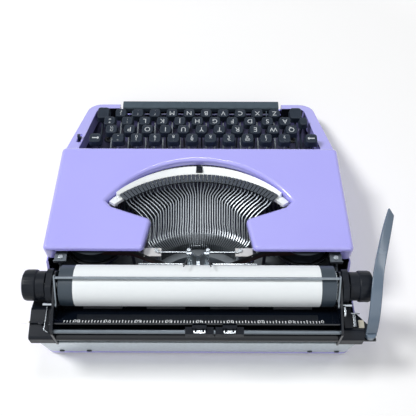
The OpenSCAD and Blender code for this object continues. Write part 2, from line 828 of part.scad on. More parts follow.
module backspace_key() { service_key(backspace_x, 0, backspace_x - 1.8, key_w, key_d); }
module margin_release_key() { service_key(release_x, 0, release_x - 2, key_w, key_d); }
module space_bar() {
    color("#3A4148") {
        x_profile(-space_w / 2, space_w / 2, rounded([
            [space_y[0], space_z[0], 1], [space_y[1], space_z[0], 1],
            [space_y[1], space_z[1], 2.5], [space_y[0], space_z[1], 2.5]
        ], 4));
        for (i = [1, 9]) key_lever(
            key_x(home_row, i) - space_lever_off, space_y[1] - 2, space_z[0] + 5,
            space_lever_t, space_lever_rise
        );
    }
}
module ribbon_selector() {
    tip_z = deck_z(selector_y) + 3.5;
    color("#22262E") difference() {
        union() {
            x_profile(selector_x - 0.8, selector_x + 0.8, [
                [selector_y - 2.5, selector_z], [selector_y + 2.5, selector_z], [selector_y + 2, tip_z],
                [selector_y - 2, tip_z]
            ]);
            x_rod(3.4, selector_x - 0.8, selector_x + 0.8, selector_y, selector_z);
            x_rod(2, selector_x - 1.3, selector_x + 1.3, selector_y, tip_z);
        }
        x_rod(hinge_pin_r + run_fit, selector_x - 2, selector_x + 2, selector_y, selector_z);
    }
}

// Carriage drive
function tooth(a, r0, r1, w0, w1) = [
    for (p = [[r0, -w0], [r1, -w1], [r1, w1], [r0, w0]]) turned(p, a)
];
module escapement_wheel() {
    color("goldenrod") {
        y_rod(axle_r, truck_back_y + 0.8, ear_y[1], 0, pinion_z);
        translate([0, truck_back_y + 4.4, pinion_z]) rotate([90, 0, 0]) linear_extrude(3.6)
            polygon([for (i = [0:pinion_teeth - 1]) each tooth(
                90 + (i + 0.5) * 360 / pinion_teeth, pinion_r - 1.2, pinion_r + 0.7, 0.75, 0.35
            )]);
        translate([0, ear_y[0] - 2, pinion_z]) rotate([90, 0, 0]) linear_extrude(1.5)
            polygon([for (i = [0:pinion_teeth - 1]) each let(a = i * 360 / pinion_teeth)
                [12.5 * [cos(a), sin(a)], 10 * [cos(a + 3), sin(a + 3)]]]);
    }
}
module mainspring_drum() {
    color("darkgray") {
        y_rod(drum_r, truck_back_y + 1, ear_y[0] - 1.7, drum_x, drum_z);
        y_rod(axle_r, truck_back_y + 1, ear_y[1], drum_x, drum_z);
    }
}
module carriage_truck() {
    block_x = 24;
    block_w = 16;
    color("slategray") {
        difference() {
            union() {
                block([-truck_w / 2, truck_front_y, truck_z], [truck_w / 2, truck_back_y, truck_z + truck_t]);
                for (x = [-1, 1], y = track_ys)
                    translate([x * block_x, y, 0])
                        block([-block_w / 2, -6, track_z - 1], [block_w / 2, 6, truck_z]);
            }
            for (y = track_ys) x_rod(track_r + free_gap, -truck_w, truck_w, y, track_z);
        }
        for (x = [-1, 1]) {
            for (y = [truck_front_y + 5, truck_back_y - 5])
                translate([x * truck_w * 0.4, y, truck_z])
                    cylinder(r = 4, h = carriage_bottom_z - truck_z - run_fit);
            translate([x * lift_pin_x, platen_y, truck_z])
                cylinder(r = lift_pin_r, h = lift_pin_top - truck_z);
        }
    }
}
module escapement_rack() {
    count = floor(truck_w / tooth_pitch / 2) - 1;
    color("silver") {
        block(
            [-truck_w / 2, truck_back_y, truck_z + 1.3],
            [truck_w / 2, truck_back_y + rack_d, truck_z + truck_t]
        );
        for (i = [-count:count]) translate([i * tooth_pitch, truck_back_y + rack_d, 0]) rotate([90, 0, 0])
            linear_extrude(rack_d) polygon([
                [-0.75, truck_z + 1.4], [-0.35, truck_z - 0.7], [0.35, truck_z - 0.7], [0.75, truck_z + 1.4]
            ]);
    }
}

// Carriage
module end_plate_profile() {
    polygon(rounded([
        [carriage_front_y, carriage_bottom_z, 0], [carriage_back_y, carriage_bottom_z, 0],
        [carriage_back_y, rear_rod_z + 5, 4], [platen_y + 22, platen_z + 5, 6],
        [platen_y + 7, platen_z + 13, 5], [platen_y - 8, platen_z + 13, 6],
        [carriage_front_y, platen_z - 6, 6]
    ]));
}
module carriage_frame() {
    color("#2A2E35") difference() {
        union() {
            x_profile(-end_plate_x - past, end_plate_x + past, [
                [carriage_front_y, carriage_bottom_z], [tray_back_y, carriage_bottom_z],
                [tray_back_y, carriage_bottom_z + sheet_t],
                [carriage_front_y + sheet_t, carriage_bottom_z + sheet_t],
                [carriage_front_y + sheet_t, platen_z - 19], [carriage_front_y, platen_z - 19]
            ]);
            both_sides() translate([end_plate_x, 0, 0]) rotate([90, 0, 90]) linear_extrude(end_plate_t)
                end_plate_profile();
            translate([0, 0, bracket_z]) linear_extrude(bracket_t) polygon([
                [-end_plate_x - past, platen_y + 17], [4 - foot_out_x[0], platen_y + 17],
                [lever_pivot[0] - 5, left_foot_y + 1], [lever_pivot[0] - 5, lever_pivot[1] + 4.7],
                [-foot_out_x[0] - 1, lever_pivot[1] + 4.7], [-foot_out_x[0] - 1, left_foot_y - 1],
                [-end_plate_x - past, left_foot_y - 1]
            ]);
            translate([lever_pivot[0], lever_pivot[1], bracket_z])
                cylinder(r = lever_pin_r, h = lever_pin_top - bracket_z);
        }
        both_sides() {
            translate([lift_pin_x, platen_y, 0]) cylinder(r = lift_pin_r + run_fit, h = tall);
            end_bore(shaft_r + run_fit, [platen_y, platen_z]);
            end_bore(rail_rod_r + seat_fit, [rear_rod_y, rear_rod_z]);
            end_bore(bail_pin_r + run_fit, bail_pivot);
            for (a = roller_angles) end_bore(roller_pin_r + run_fit, roller_at(a));
        }
        mirror([1, 0, 0]) end_bore(release_pin_r + run_fit, release_at);
    }
}
module end_bore(r, at) {
    x_rod(r, end_plate_x - 4, end_plate_x + 4, at[0], at[1]);
}
function roller_at(a) = [platen_y, platen_z] + roller_reach * [cos(a), sin(a)];
module end_cover_plate() {
    translate([cover_x, 0, 0]) rotate([90, 0, 90]) linear_extrude(end_cover_t) polygon(rounded([
        [platen_y - 15, carriage_bottom_z + 3, 2], [platen_y + 16, carriage_bottom_z + 3, 0],
        [platen_y + 16, platen_z + 8, 5], [platen_y + 9, platen_z + 15, 6], [platen_y - 10, platen_z + 15, 8],
        [platen_y - 15, platen_z - 2, 8]
    ]));
}
module end_foot(x_out, y_in, ramp, drop) {
    translate([cover_x, 0, 0]) rotate([90, 0, 90]) linear_extrude(x_out - cover_x) polygon(rounded([
        [y_in, carriage_bottom_z + 3, 0], [carriage_back_y, carriage_bottom_z + 3, 0],
        [carriage_back_y, foot_top_z - 4, 3], [y_in + ramp, foot_top_z, 3], [y_in, foot_top_z - drop, 2]
    ]));
}
module right_end_cover() {
    color("#1C2129") difference() {
        union() {
            end_cover_plate();
            end_foot(foot_out_x[1], platen_y + 6, 12, 5);
        }
        x_rod(shaft_r + 1, cover_x - past, knob_out, platen_y, platen_z);
        translate([clutch_at[0], clutch_at[1], foot_top_z - 14]) cylinder(r = clutch_pin_r + run_fit, h = 30);
    }
}
module left_end_cover() {
    color("#1C2129") mirror([1, 0, 0]) difference() {
        union() {
            end_cover_plate();
            end_foot(foot_out_x[0], left_foot_y, 4, 3);
            block(
                [cover_x + 3.2, platen_y + 13.5, bracket_z + bracket_t + free_gap],
                [cover_x + 10, left_foot_y + 1, foot_top_z - 1]
            );
            block(
                [cover_x, platen_y + 15, carriage_bottom_z + 3],
                [cover_x + 3, left_foot_y + 1, bracket_z - free_gap]
            );
        }
        x_rod(shaft_r + 1, cover_x - past, knob_out, platen_y, platen_z);
    }
}
module paper_table() {
    n = turned(unit(table_high - table_low), 90) * sheet_t;
    half = end_plate_x - 0.1;
    color("#14171C") {
        x_profile(-half, half, [table_low, table_high, table_high + n, table_low + n]);
        both_sides() block([half - 9, table_low[0] + 6, carriage_bottom_z + sheet_t],
            [half - 7.5, table_low[0] + 9, table_low[1] + 5]);
    }
}
module back_rail() {
    half = end_plate_x - 0.1;
    z = [foot_top_z - 11, foot_top_z - 3];
    color("#14171C") x_profile(-half, half, rounded([
        [back_rail_y[0], z[0], 0], [back_rail_y[1], z[0], 3],
        [back_rail_y[1], z[1], 4.5], [back_rail_y[0], z[1], 0]
    ]));
}
module margin_rail() {
    color("silver") x_rod(
        rail_rod_r, -end_plate_x - end_plate_t, end_plate_x + end_plate_t, rear_rod_y, rear_rod_z
    );
}
module feed_roller(at) {
    color("#2B2E33") {
        x_rod(roller_pin_r, -end_plate_x - end_plate_t, end_plate_x + end_plate_t, at[0], at[1]);
        for (x = roller_xs) x_rod(roller_r, x - roller_half, x + roller_half, at[0], at[1]);
    }
}
module front_feed_rollers() { feed_roller(roller_at(roller_angles[0])); }
module rear_feed_rollers() { feed_roller(roller_at(roller_angles[1])); }
module margin_stop(x) {
    color("#30353C") difference() {
        union() {
            translate([x, rear_rod_y, rear_rod_z]) {
                block([-stop_w / 2, -3, -4], [stop_w / 2, 3.4, 3.5]);
                block([-stop_w / 4, -3, 3.5], [stop_w / 4, -0.5, 8]);
            }
        }
        x_rod(rail_rod_r + run_fit, x - stop_w, x + stop_w, rear_rod_y, rear_rod_z);
    }
}
module left_margin_stop() { margin_stop(stop_xs[0]); }
module right_margin_stop() { margin_stop(stop_xs[1]); }
module platen() {
    color("#3A444B") difference() {
        x_rod(platen_r, -platen_half, platen_half, platen_y, platen_z);
        x_rod(core_r + seat_fit, -platen_half - past, platen_half + past, platen_y, platen_z);
    }
}
module platen_shaft() {
    teeth = 30;
    color("silver") {
        x_rod(shaft_r, -knob_out + 2, knob_out - 2, platen_y, platen_z);
        x_rod(core_r, -platen_half, platen_half, platen_y, platen_z);
        translate([-platen_half - 1.6, platen_y, platen_z]) rotate([90, 0, 90]) linear_extrude(1.6)
            polygon([for (i = [0:teeth - 1]) each let(a = i * 360 / teeth)
                [14 * [cos(a), sin(a)], 12.4 * [cos(a + 5), sin(a + 5)]]]);
    }
}
module knob() {
    collar_r = knob_r - 1.2;
    flute_r = 0.7;
    flutes = 24;
    difference() {
        union() {
            x_rod(collar_r, knob_in, knob_out - past, platen_y, platen_z);
            x_rod(knob_r, knob_out - knob_grip, knob_out, platen_y, platen_z);
        }
        x_rod(shaft_r + seat_fit, knob_in - past, knob_out - 2, platen_y, platen_z);
        for (i = [0:flutes - 1]) translate([0, platen_y, platen_z]) rotate([i * 360 / flutes, 0, 0])
            x_rod(flute_r, knob_out - knob_grip + 0.5, knob_out + past, 0, knob_r + 0.2, $fn = 16);
    }
}
module left_knob() {
    color("#1C2129") mirror([1, 0, 0]) knob();
}
module right_knob() {
    color("#1C2129") knob();
}
module paper_sheet() {
    wrap = 320;
    end = -70;
    color("white") translate([-paper_w / 2, platen_y, platen_z]) rotate([90, 0, 90])
        rotate([0, 0, end - wrap]) rotate_extrude(angle = wrap, $fn = 96)
            translate([platen_r + paper_gap, 0]) square([paper_t, paper_w]);
}
module paper_bail() {
    d = unit(bail_rod_at - bail_pivot);
    n = turned(d, 90);
    tip = bail_rod_at + d * 2;
    arm = [bail_pivot - 2.2 * n, tip - 1.6 * n, tip + 1.6 * n, bail_pivot + 2.2 * n];
    color("silver") {
        x_rod(bail_r, -bail_arm_x, bail_arm_x, bail_rod_at[0], bail_rod_at[1]);
        both_sides() {
            x_profile(bail_arm_x, bail_arm_x + 1.2, arm);
            x_rod(3.4, bail_arm_x, bail_arm_x + 1.2, bail_pivot[0], bail_pivot[1]);
            x_rod(bail_pin_r, bail_arm_x, end_plate_x + end_plate_t, bail_pivot[0], bail_pivot[1]);
        }
    }
}

module return_lever() {
    blade_t = 3.4;
    hub_z = bracket_z + bracket_t + 0.2;
    color("#5F6E7E") difference() {
        union() {
            for (i = [0:len(blade) - 2]) hull() for (p = [blade[i], blade[i + 1]])
                translate([lever_pivot[0] + p[0], lever_pivot[1] + p[1], platen_z + p[2] - blade_t / 2])
                    cylinder(r = p[3], h = blade_t, $fn = 24);
            translate([lever_pivot[0], lever_pivot[1], hub_z]) cylinder(r = lever_hub_r, h = 6);
        }
        translate([lever_pivot[0], lever_pivot[1], 0])
            cylinder(r = lever_pin_r + run_fit, h = lever_pin_top + free_gap);
    }
}
module paper_release_lever() {
    x0 = -cover_x - 2;
    color("gainsboro") {
        translate([x0, 0, 0]) rotate([90, 0, 90]) linear_extrude(1.6) polygon(rounded([
            [release_at[0] - 4, release_at[1] - 4, 3], [release_at[0] + 4, release_at[1] - 4, 3],
            [release_at[0] + 2, release_at[1] + 17, 3.5], [release_at[0] - 8, release_at[1] + 17, 3.5]
        ]));
        x_rod(release_pin_r, x0, -end_plate_x, release_at[0], release_at[1]);
    }
}
module carriage_release_lever() {
    z0 = foot_top_z + 0.3;
    color("gainsboro") {
        translate([clutch_at[0], clutch_at[1], z0]) cylinder(r = 2.3, h = 1.4);
        translate([clutch_at[0], clutch_at[1], z0 - 8]) cylinder(r = clutch_pin_r, h = 9);
        block([clutch_at[0], clutch_at[1] - 0.8, z0], [clutch_at[0] + 17, clutch_at[1] + 0.8, z0 + 1.4]);
    }
}

base_pan();
body_shell();
rear_panel();
rubber_feet();
side_frames();
carriage_rails();
key_fulcrum_rod();
segment();
fulcrum_wire();
typebars();
type_rest();
type_guide();
card_guides();
spool_cups();
ribbon();
cover_hinge_pins();
ribbon_cover();
left_spool();
right_spool();
ribbon_vibrator();
h_typebar();
number_row_keys();
top_row_keys();
home_row_keys();
bottom_row_keys();
number_row_levers();
top_row_levers();
home_row_levers();
bottom_row_levers();
h_key();
space_bar();
left_shift_key();
right_shift_key();
shift_lock_key();
backspace_key();
margin_release_key();
ribbon_selector();
escapement_wheel();
mainspring_drum();
carriage_truck();
escapement_rack();
carriage_frame();
left_end_cover();
right_end_cover();
paper_table();
back_rail();
margin_rail();
front_feed_rollers();
rear_feed_rollers();
left_margin_stop();
right_margin_stop();
platen();
platen_shaft();
left_knob();
right_knob();
paper_sheet();
paper_bail();
return_lever();
paper_release_lever();
carriage_release_lever();
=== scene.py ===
"""Dresses the packed portable typewriter: lavender case, black keys, type basket and carriage, on a white stage."""
import math

import bmesh
import bpy
from bpy.props import FloatProperty, FloatVectorProperty, IntProperty, PointerProperty
from mathutils import Matrix, Vector


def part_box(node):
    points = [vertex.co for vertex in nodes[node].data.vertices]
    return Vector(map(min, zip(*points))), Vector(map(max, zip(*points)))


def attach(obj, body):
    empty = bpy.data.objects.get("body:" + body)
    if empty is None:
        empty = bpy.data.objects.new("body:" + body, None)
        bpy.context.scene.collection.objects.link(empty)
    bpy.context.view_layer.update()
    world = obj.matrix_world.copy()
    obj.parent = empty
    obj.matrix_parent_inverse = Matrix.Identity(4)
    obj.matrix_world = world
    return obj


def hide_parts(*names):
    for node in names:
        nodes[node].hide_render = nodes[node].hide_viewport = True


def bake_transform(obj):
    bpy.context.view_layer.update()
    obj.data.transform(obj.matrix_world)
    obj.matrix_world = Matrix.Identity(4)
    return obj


bl_info = {
    "name": "Portable typewriter",
    "version": (1, 0, 0),
    "blender": (4, 5, 0),
    "location": "3D View > Sidebar > Typewriter",
    "description": "Finishes the CAD model of a portable typewriter and lights it",
    "category": "Object",
}

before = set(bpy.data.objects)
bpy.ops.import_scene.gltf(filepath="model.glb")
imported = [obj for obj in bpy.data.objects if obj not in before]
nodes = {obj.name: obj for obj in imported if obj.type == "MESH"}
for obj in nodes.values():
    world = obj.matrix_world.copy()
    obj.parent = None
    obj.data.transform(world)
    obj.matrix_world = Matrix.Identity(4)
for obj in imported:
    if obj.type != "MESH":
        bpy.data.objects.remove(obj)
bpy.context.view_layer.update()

MM = 0.001
WELD = 1e-6                  # points nearer than this are one point
FINE = 1e-7                  # the same, for thin bars and paper
FLAT = math.radians(0.5)     # faces that turn less than this are one face
SHARP = math.radians(38)     # edges that turn more than this stay sharp
MIX_A, MIX_B, MIXED = 6, 7, 2  # sockets of a Mix node's two colours and of its result
PLATEN = Vector((0, 0.101, 0.077))  # the platen's axis runs through here, along X


def linear(code):
    """An sRGB hex colour as linear RGBA."""
    parts = [int(code[i:i + 2], 16) / 255 for i in (1, 3, 5)]
    return [p / 12.92 if p <= 0.04045 else ((p + 0.055) / 1.055) ** 2.4 for p in parts] + [1.0]


def tone(colour, factor, lift=0.0):
    """A colour that many times as bright, with a little light added."""
    return [min(1, c * factor + lift) for c in colour[:3]] + [1.0]


def per(size):
    """The texture scale that makes one feature that many millimetres wide."""
    return 1 / (size * MM)


def add(tree, kind, inputs, **settings):
    """One node with its settings; an input is a value or a (node, output) link."""
    made = tree.nodes.new(kind)
    for key, value in settings.items():
        setattr(made, key, value)
    for key, value in inputs.items():
        if isinstance(value, tuple) and isinstance(value[0], bpy.types.Node):
            tree.links.new(value[0].outputs[value[1]], made.inputs[key])
        else:
            made.inputs[key].default_value = value
    return made


# Settings

def colour_setting(name, description, code):
    """A colour that a user may change."""
    return FloatVectorProperty(name=name, description=description, size=4, subtype="COLOR", min=0, max=1,
                               default=linear(code))


def length_setting(name, description, default, low, high):
    """A length that a user may change, given in millimetres."""
    return FloatProperty(name=name, description=description, default=default * MM, min=low * MM, max=high * MM,
                         unit="LENGTH")


def power_setting(name, description, default):
    """A lamp's power that a user may change."""
    return FloatProperty(name=name, description=description, default=default, min=0, unit="POWER")


class CaseSettings(bpy.types.PropertyGroup):
    """Case and ribbon cover"""
    lacquer: colour_setting("Lacquer", "Lavender of the case and the cover", "#B2AFFC")
    lacquer_deep: colour_setting("Deep lacquer", "Where the lacquer lies thicker", "#ABA7FA")
    hammered: colour_setting("Rear panel", "Blue-grey hammered enamel", "#C6D2D9")
    # The pan's own lavender is darkened here to dark violet: painted shade under the keys.
    pan: colour_setting("Base pan", "Lavender pan darkened into painted shade under the keys", "#3B3A5C")
    cover_round: length_setting("Cover edge", "Rounding of the cover's upper edges", 4, 0.5, 4.5)
    deck_round: length_setting("Deck edge", "Rounding of the deck's edges", 0.9, 0.3, 3)


class KeySettings(bpy.types.PropertyGroup):
    """Keys, legends and space bar"""
    plastic: colour_setting("Key plastic", "Blue-black of the key tops", "#222A35")
    space: colour_setting("Space bar", "Dark grey of the space bar", "#414D56")
    legend: colour_setting("Legends", "Pale grey of the moulded legends", "#CDD3D7")
    pitch: length_setting("Key pitch", "Distance from key to key", 19, 18, 20)
    corner: length_setting("Key corner", "Rounding of a key's corners in plan", 3.6, 1, 5)
    draft: length_setting("Key draft", "How much narrower a key is at the top", 2.2, 0.5, 4)
    letter: length_setting("Letter height", "Height of a capital", 5.8, 2, 7)


class BasketSettings(bpy.types.PropertyGroup):
    """Type basket and ribbon"""
    type_steel: colour_setting("Type steel", "Grey of the typebars", "#B9BFC4")
    slug: colour_setting("Type slugs", "Inked grey of the type slugs", "#585D63")
    casting: colour_setting("Casting", "Grey of the segment", "#8F959A")
    rest: colour_setting("Type rest", "White of the type rest", "#EEF2F1")


class CarriageSettings(bpy.types.PropertyGroup):
    """Carriage, platen, paper and lever"""
    plastic: colour_setting("End covers", "Blue-black of the end covers and knobs", "#0B1018")
    enamel: colour_setting("Black enamel", "Black of the carriage frame, paper table, rail and stops", "#080E18")
    rubber: colour_setting("Platen rubber", "Blue-grey of the platen", "#232F39")
    paper: colour_setting("Paper", "White of the paper", "#F6FBFD")
    lever: colour_setting("Return lever", "Slate enamel of the return lever", "#5C6C7D")
    tick_pitch: length_setting("Tick pitch", "One letter's width on the scale", 2.6, 1.8, 3)
    tick_count: IntProperty(name="Ticks", description="Number of letters on the scale", default=84, min=20, max=90)


class StageSettings(bpy.types.PropertyGroup):
    """Floor, lamps and camera"""
    floor: colour_setting("Floor", "Colour of the floor", "#F7F7F7")
    key_lamp: power_setting("Key lamp", "Softbox on the typist's right", 77)
    front_lamp: power_setting("Front lamp", "Softbox behind the camera", 17)
    rim_lamp: power_setting("Rim lamps", "Each of the two small lamps that draw the rims", 3.5)
    lens: FloatProperty(name="Lens", description="Focal length in millimetres", default=53.195, min=20, max=200,
                        unit="CAMERA")


# Materials

def begin(name):
    """A new material: its tree and the Object coordinates that its patterns read."""
    material = bpy.data.materials.new(name)
    material.use_nodes = True
    tree = material.node_tree
    tree.nodes.clear()
    return material, tree, (add(tree, "ShaderNodeTexCoord", {}), "Object")


def ended(material, shader):
    """A material whose tree ends in that shader."""
    add(material.node_tree, "ShaderNodeOutputMaterial", {"Surface": (shader, 0)})
    return material


def lacquered_abs(name, colour, deep):
    # Lacquer sprayed on moulded ABS: an even colour under a wet gloss, with a slight orange peel.
    material, tree, place = begin(name)
    cloud = add(tree, "ShaderNodeTexNoise", {"Vector": place, "Scale": per(70), "Detail": 2.0})
    tint = add(tree, "ShaderNodeMix", {0: (cloud, "Fac"), MIX_A: colour, MIX_B: deep}, data_type="RGBA")
    rub = add(tree, "ShaderNodeTexNoise", {"Vector": place, "Scale": per(9), "Detail": 6.0})
    gloss = add(tree, "ShaderNodeMapRange", {"Value": (rub, "Fac"), "To Min": 0.2, "To Max": 0.27})
    peel = add(tree, "ShaderNodeTexNoise", {"Vector": place, "Scale": per(1.6), "Detail": 1.0})
    skin = add(tree, "ShaderNodeBump", {"Height": (peel, "Fac"), "Strength": 0.05, "Distance": 0.05 * MM})
    return ended(material, add(tree, "ShaderNodeBsdfPrincipled", {
        "Base Color": (tint, MIXED), "Roughness": (gloss, "Result"), "Normal": (skin, "Normal"), "IOR": 1.5,
        "Coat Weight": 1.0, "Coat Roughness": 0.05}))


def hammered_enamel(name, colour):
    # Hammer-finish enamel on sheet steel: small bright dimples with darker seams.
    material, tree, place = begin(name)
    pits = add(tree, "ShaderNodeTexVoronoi", {"Vector": place, "Scale": per(2.4), "Randomness": 1.0},
               feature="SMOOTH_F1")
    tint = add(tree, "ShaderNodeMix", {0: (pits, "Distance"), MIX_A: colour, MIX_B: tone(colour, 0.72)},
               data_type="RGBA")
    dent = add(tree, "ShaderNodeBump", {"Height": (pits, "Distance"), "Strength": 0.5, "Distance": 0.35 * MM})
    return ended(material, add(tree, "ShaderNodeBsdfPrincipled", {
        "Base Color": (tint, MIXED), "Roughness": 0.34, "Normal": (dent, "Normal"), "Metallic": 0.25,
        "Coat Weight": 0.3, "Coat Roughness": 0.15}))


def moulded_abs(name, colour, grain, rough):
    # ABS from a spark-textured mould: near black, with a soft grey sheen and a fine grain, rubbed shinier in patches.
    material, tree, place = begin(name)
    wear = add(tree, "ShaderNodeTexNoise", {"Vector": place, "Scale": per(7), "Detail": 5.0})
    tint = add(tree, "ShaderNodeMix", {0: (wear, "Fac"), MIX_A: colour, MIX_B: tone(colour, 1.5, 0.004)},
               data_type="RGBA")
    gloss = add(tree, "ShaderNodeMapRange", {"Value": (wear, "Fac"), "To Min": rough - 0.08, "To Max": rough + 0.1})
    spark = add(tree, "ShaderNodeTexNoise", {"Vector": place, "Scale": per(grain), "Detail": 2.0})
    skin = add(tree, "ShaderNodeBump", {"Height": (spark, "Fac"), "Strength": 0.2, "Distance": 0.06 * MM})
    return ended(material, add(tree, "ShaderNodeBsdfPrincipled", {
        "Base Color": (tint, MIXED), "Roughness": (gloss, "Result"), "Normal": (skin, "Normal"), "IOR": 1.54,
        "Specular IOR Level": 0.15}))


def moulded_legend(name, colour):
    # Pale plastic shot into a key, or the scale's paint: flat and matt, slightly soiled.
    material, tree, place = begin(name)
    soil = add(tree, "ShaderNodeTexNoise", {"Vector": place, "Scale": per(3), "Detail": 4.0})
    tint = add(tree, "ShaderNodeMix", {0: (soil, "Fac"), MIX_A: colour, MIX_B: tone(colour, 0.86)}, data_type="RGBA")
    return ended(material, add(tree, "ShaderNodeBsdfPrincipled", {"Base Color": (tint, MIXED), "Roughness": 0.5}))


def ground_rubber(name, colour):
    # Rubber ground on a lathe: dull, with fine rings round the roller and worn, paler patches.
    material, tree, place = begin(name)
    along = add(tree, "ShaderNodeMapping", {"Vector": place, "Scale": (per(0.9), per(30), per(30))})
    rings = add(tree, "ShaderNodeTexNoise", {"Vector": (along, "Vector"), "Scale": 1.0, "Detail": 2.0})
    worn = add(tree, "ShaderNodeTexNoise", {"Vector": place, "Scale": per(22), "Detail": 4.0})
    tint = add(tree, "ShaderNodeMix", {0: (worn, "Fac"), MIX_A: colour, MIX_B: tone(colour, 1.5)}, data_type="RGBA")
    skin = add(tree, "ShaderNodeBump", {"Height": (rings, "Fac"), "Strength": 0.25, "Distance": 0.05 * MM})
    return ended(material, add(tree, "ShaderNodeBsdfPrincipled", {
        "Base Color": (tint, MIXED), "Roughness": 0.48, "Normal": (skin, "Normal"), "IOR": 1.52}))


def bond_paper(name, colour):
    # Bond paper: white, quite matt, with a cloudy fibre formation.
    material, tree, place = begin(name)
    fibre = add(tree, "ShaderNodeTexNoise", {"Vector": place, "Scale": per(2.5), "Detail": 6.0})
    cloudy = [c * share for c, share in zip(colour, (0.96, 0.965, 0.97, 1.0))]
    tint = add(tree, "ShaderNodeMix", {0: (fibre, "Fac"), MIX_A: colour, MIX_B: cloudy}, data_type="RGBA")
    tooth = add(tree, "ShaderNodeBump", {"Height": (fibre, "Fac"), "Strength": 0.08, "Distance": 0.05 * MM})
    return ended(material, add(tree, "ShaderNodeBsdfPrincipled", {
        "Base Color": (tint, MIXED), "Roughness": 0.85, "Normal": (tooth, "Normal"), "IOR": 1.4}))


def metal(name, colour, rough, streak, fleck):
    # Bare or plated metal: mirror-like, drawn out in fine streaks along X, with dull flecks of age.
    material, tree, place = begin(name)
    along = add(tree, "ShaderNodeMapping", {"Vector": place, "Scale": (per(streak * 12), per(streak), per(streak))})
    draw = add(tree, "ShaderNodeTexNoise", {"Vector": (along, "Vector"), "Scale": 1.0, "Detail": 3.0})
    age = add(tree, "ShaderNodeTexNoise", {"Vector": place, "Scale": per(fleck), "Detail": 6.0})
    tint = add(tree, "ShaderNodeMix", {0: (age, "Fac"), MIX_A: colour, MIX_B: tone(colour, 0.62)}, data_type="RGBA")
    gloss = add(tree, "ShaderNodeMapRange", {"Value": (draw, "Fac"), "To Min": rough * 0.7, "To Max": rough * 1.4})
    skin = add(tree, "ShaderNodeBump", {"Height": (draw, "Fac"), "Strength": 0.08, "Distance": 0.03 * MM})
    return ended(material, add(tree, "ShaderNodeBsdfPrincipled", {
        "Base Color": (tint, MIXED), "Metallic": 1.0, "Roughness": (gloss, "Result"), "Normal": (skin, "Normal")}))


def inked_type(name, colour, slug):
    # Hardened type steel: bright bars that darken towards their slugs, where ink dries into the faces.
    material, tree, place = begin(name)
    reach = add(tree, "ShaderNodeVectorMath", {0: place, 1: (0, 80 * MM, 77 * MM)}, operation="DISTANCE")
    ink = add(tree, "ShaderNodeMapRange", {"Value": (reach, "Value"), "From Min": 84 * MM, "From Max": 98 * MM})
    age = add(tree, "ShaderNodeTexNoise", {"Vector": place, "Scale": per(3), "Detail": 5.0})
    worn = add(tree, "ShaderNodeMapRange", {"Value": (age, "Fac"), "To Min": 0.05, "To Max": 0.3})
    tint = add(tree, "ShaderNodeMix", {0: (ink, "Result"), MIX_A: colour, MIX_B: slug}, data_type="RGBA")
    gloss = add(tree, "ShaderNodeMapRange", {"Value": (age, "Fac"), "To Min": 0.3, "To Max": 0.5})
    tint = add(tree, "ShaderNodeMix", {0: (worn, "Result"), MIX_A: (tint, MIXED), MIX_B: tone(slug, 0.4)},
               data_type="RGBA")
    return ended(material, add(tree, "ShaderNodeBsdfPrincipled", {
        "Base Color": (tint, MIXED), "Metallic": 1.0, "Roughness": (gloss, "Result")}))


def die_cast(name, colour):
    # Die-cast zinc: grey, grainy, half dull, with oily darker clouds.
    material, tree, place = begin(name)
    cloud = add(tree, "ShaderNodeTexNoise", {"Vector": place, "Scale": per(11), "Detail": 5.0})
    tint = add(tree, "ShaderNodeMix", {0: (cloud, "Fac"), MIX_A: colour, MIX_B: tone(colour, 0.5)}, data_type="RGBA")
    sand = add(tree, "ShaderNodeTexNoise", {"Vector": place, "Scale": per(0.8), "Detail": 2.0})
    skin = add(tree, "ShaderNodeBump", {"Height": (sand, "Fac"), "Strength": 0.25, "Distance": 0.08 * MM})
    return ended(material, add(tree, "ShaderNodeBsdfPrincipled", {
        "Base Color": (tint, MIXED), "Metallic": 0.75, "Roughness": 0.42, "Normal": (skin, "Normal")}))


def stoved_enamel(name, colour, rough, shine=0.5):
    # Stoved enamel on steel: a smooth hard gloss, with slight waves and a few dull rubs.
    material, tree, place = begin(name)
    rub = add(tree, "ShaderNodeTexNoise", {"Vector": place, "Scale": per(14), "Detail": 6.0})
    tint = add(tree, "ShaderNodeMix", {0: (rub, "Fac"), MIX_A: colour, MIX_B: tone(colour, 1.12, 0.002)},
               data_type="RGBA")
    gloss = add(tree, "ShaderNodeMapRange", {"Value": (rub, "Fac"), "To Min": rough * 0.6, "To Max": rough * 1.4})
    wave = add(tree, "ShaderNodeTexNoise", {"Vector": place, "Scale": per(6), "Detail": 0.0})
    skin = add(tree, "ShaderNodeBump", {"Height": (wave, "Fac"), "Strength": 0.06, "Distance": 0.1 * MM})
    return ended(material, add(tree, "ShaderNodeBsdfPrincipled", {
        "Base Color": (tint, MIXED), "Roughness": (gloss, "Result"), "Normal": (skin, "Normal"), "IOR": 1.52,
        "Specular IOR Level": shine}))


def bare_tip(name, colour, start):
    # Black enamel dip on a steel lever: dark and glossy as far as the dip goes, then pale bare metal.
    material, tree, place = begin(name)
    axes = add(tree, "ShaderNodeSeparateXYZ", {"Vector": place})
    dip = add(tree, "ShaderNodeMapRange", {"Value": (axes, "X"), "From Min": (start - 0.6) * MM,
                                           "From Max": (start + 0.6) * MM})
    tint = add(tree, "ShaderNodeMix", {0: (dip, "Result"), MIX_A: colour, MIX_B: linear("#D9D6CC")},
               data_type="RGBA")
    return ended(material, add(tree, "ShaderNodeBsdfPrincipled", {
        "Base Color": (tint, MIXED), "Metallic": (dip, "Result"), "Roughness": 0.3, "Specular IOR Level": 0.25}))


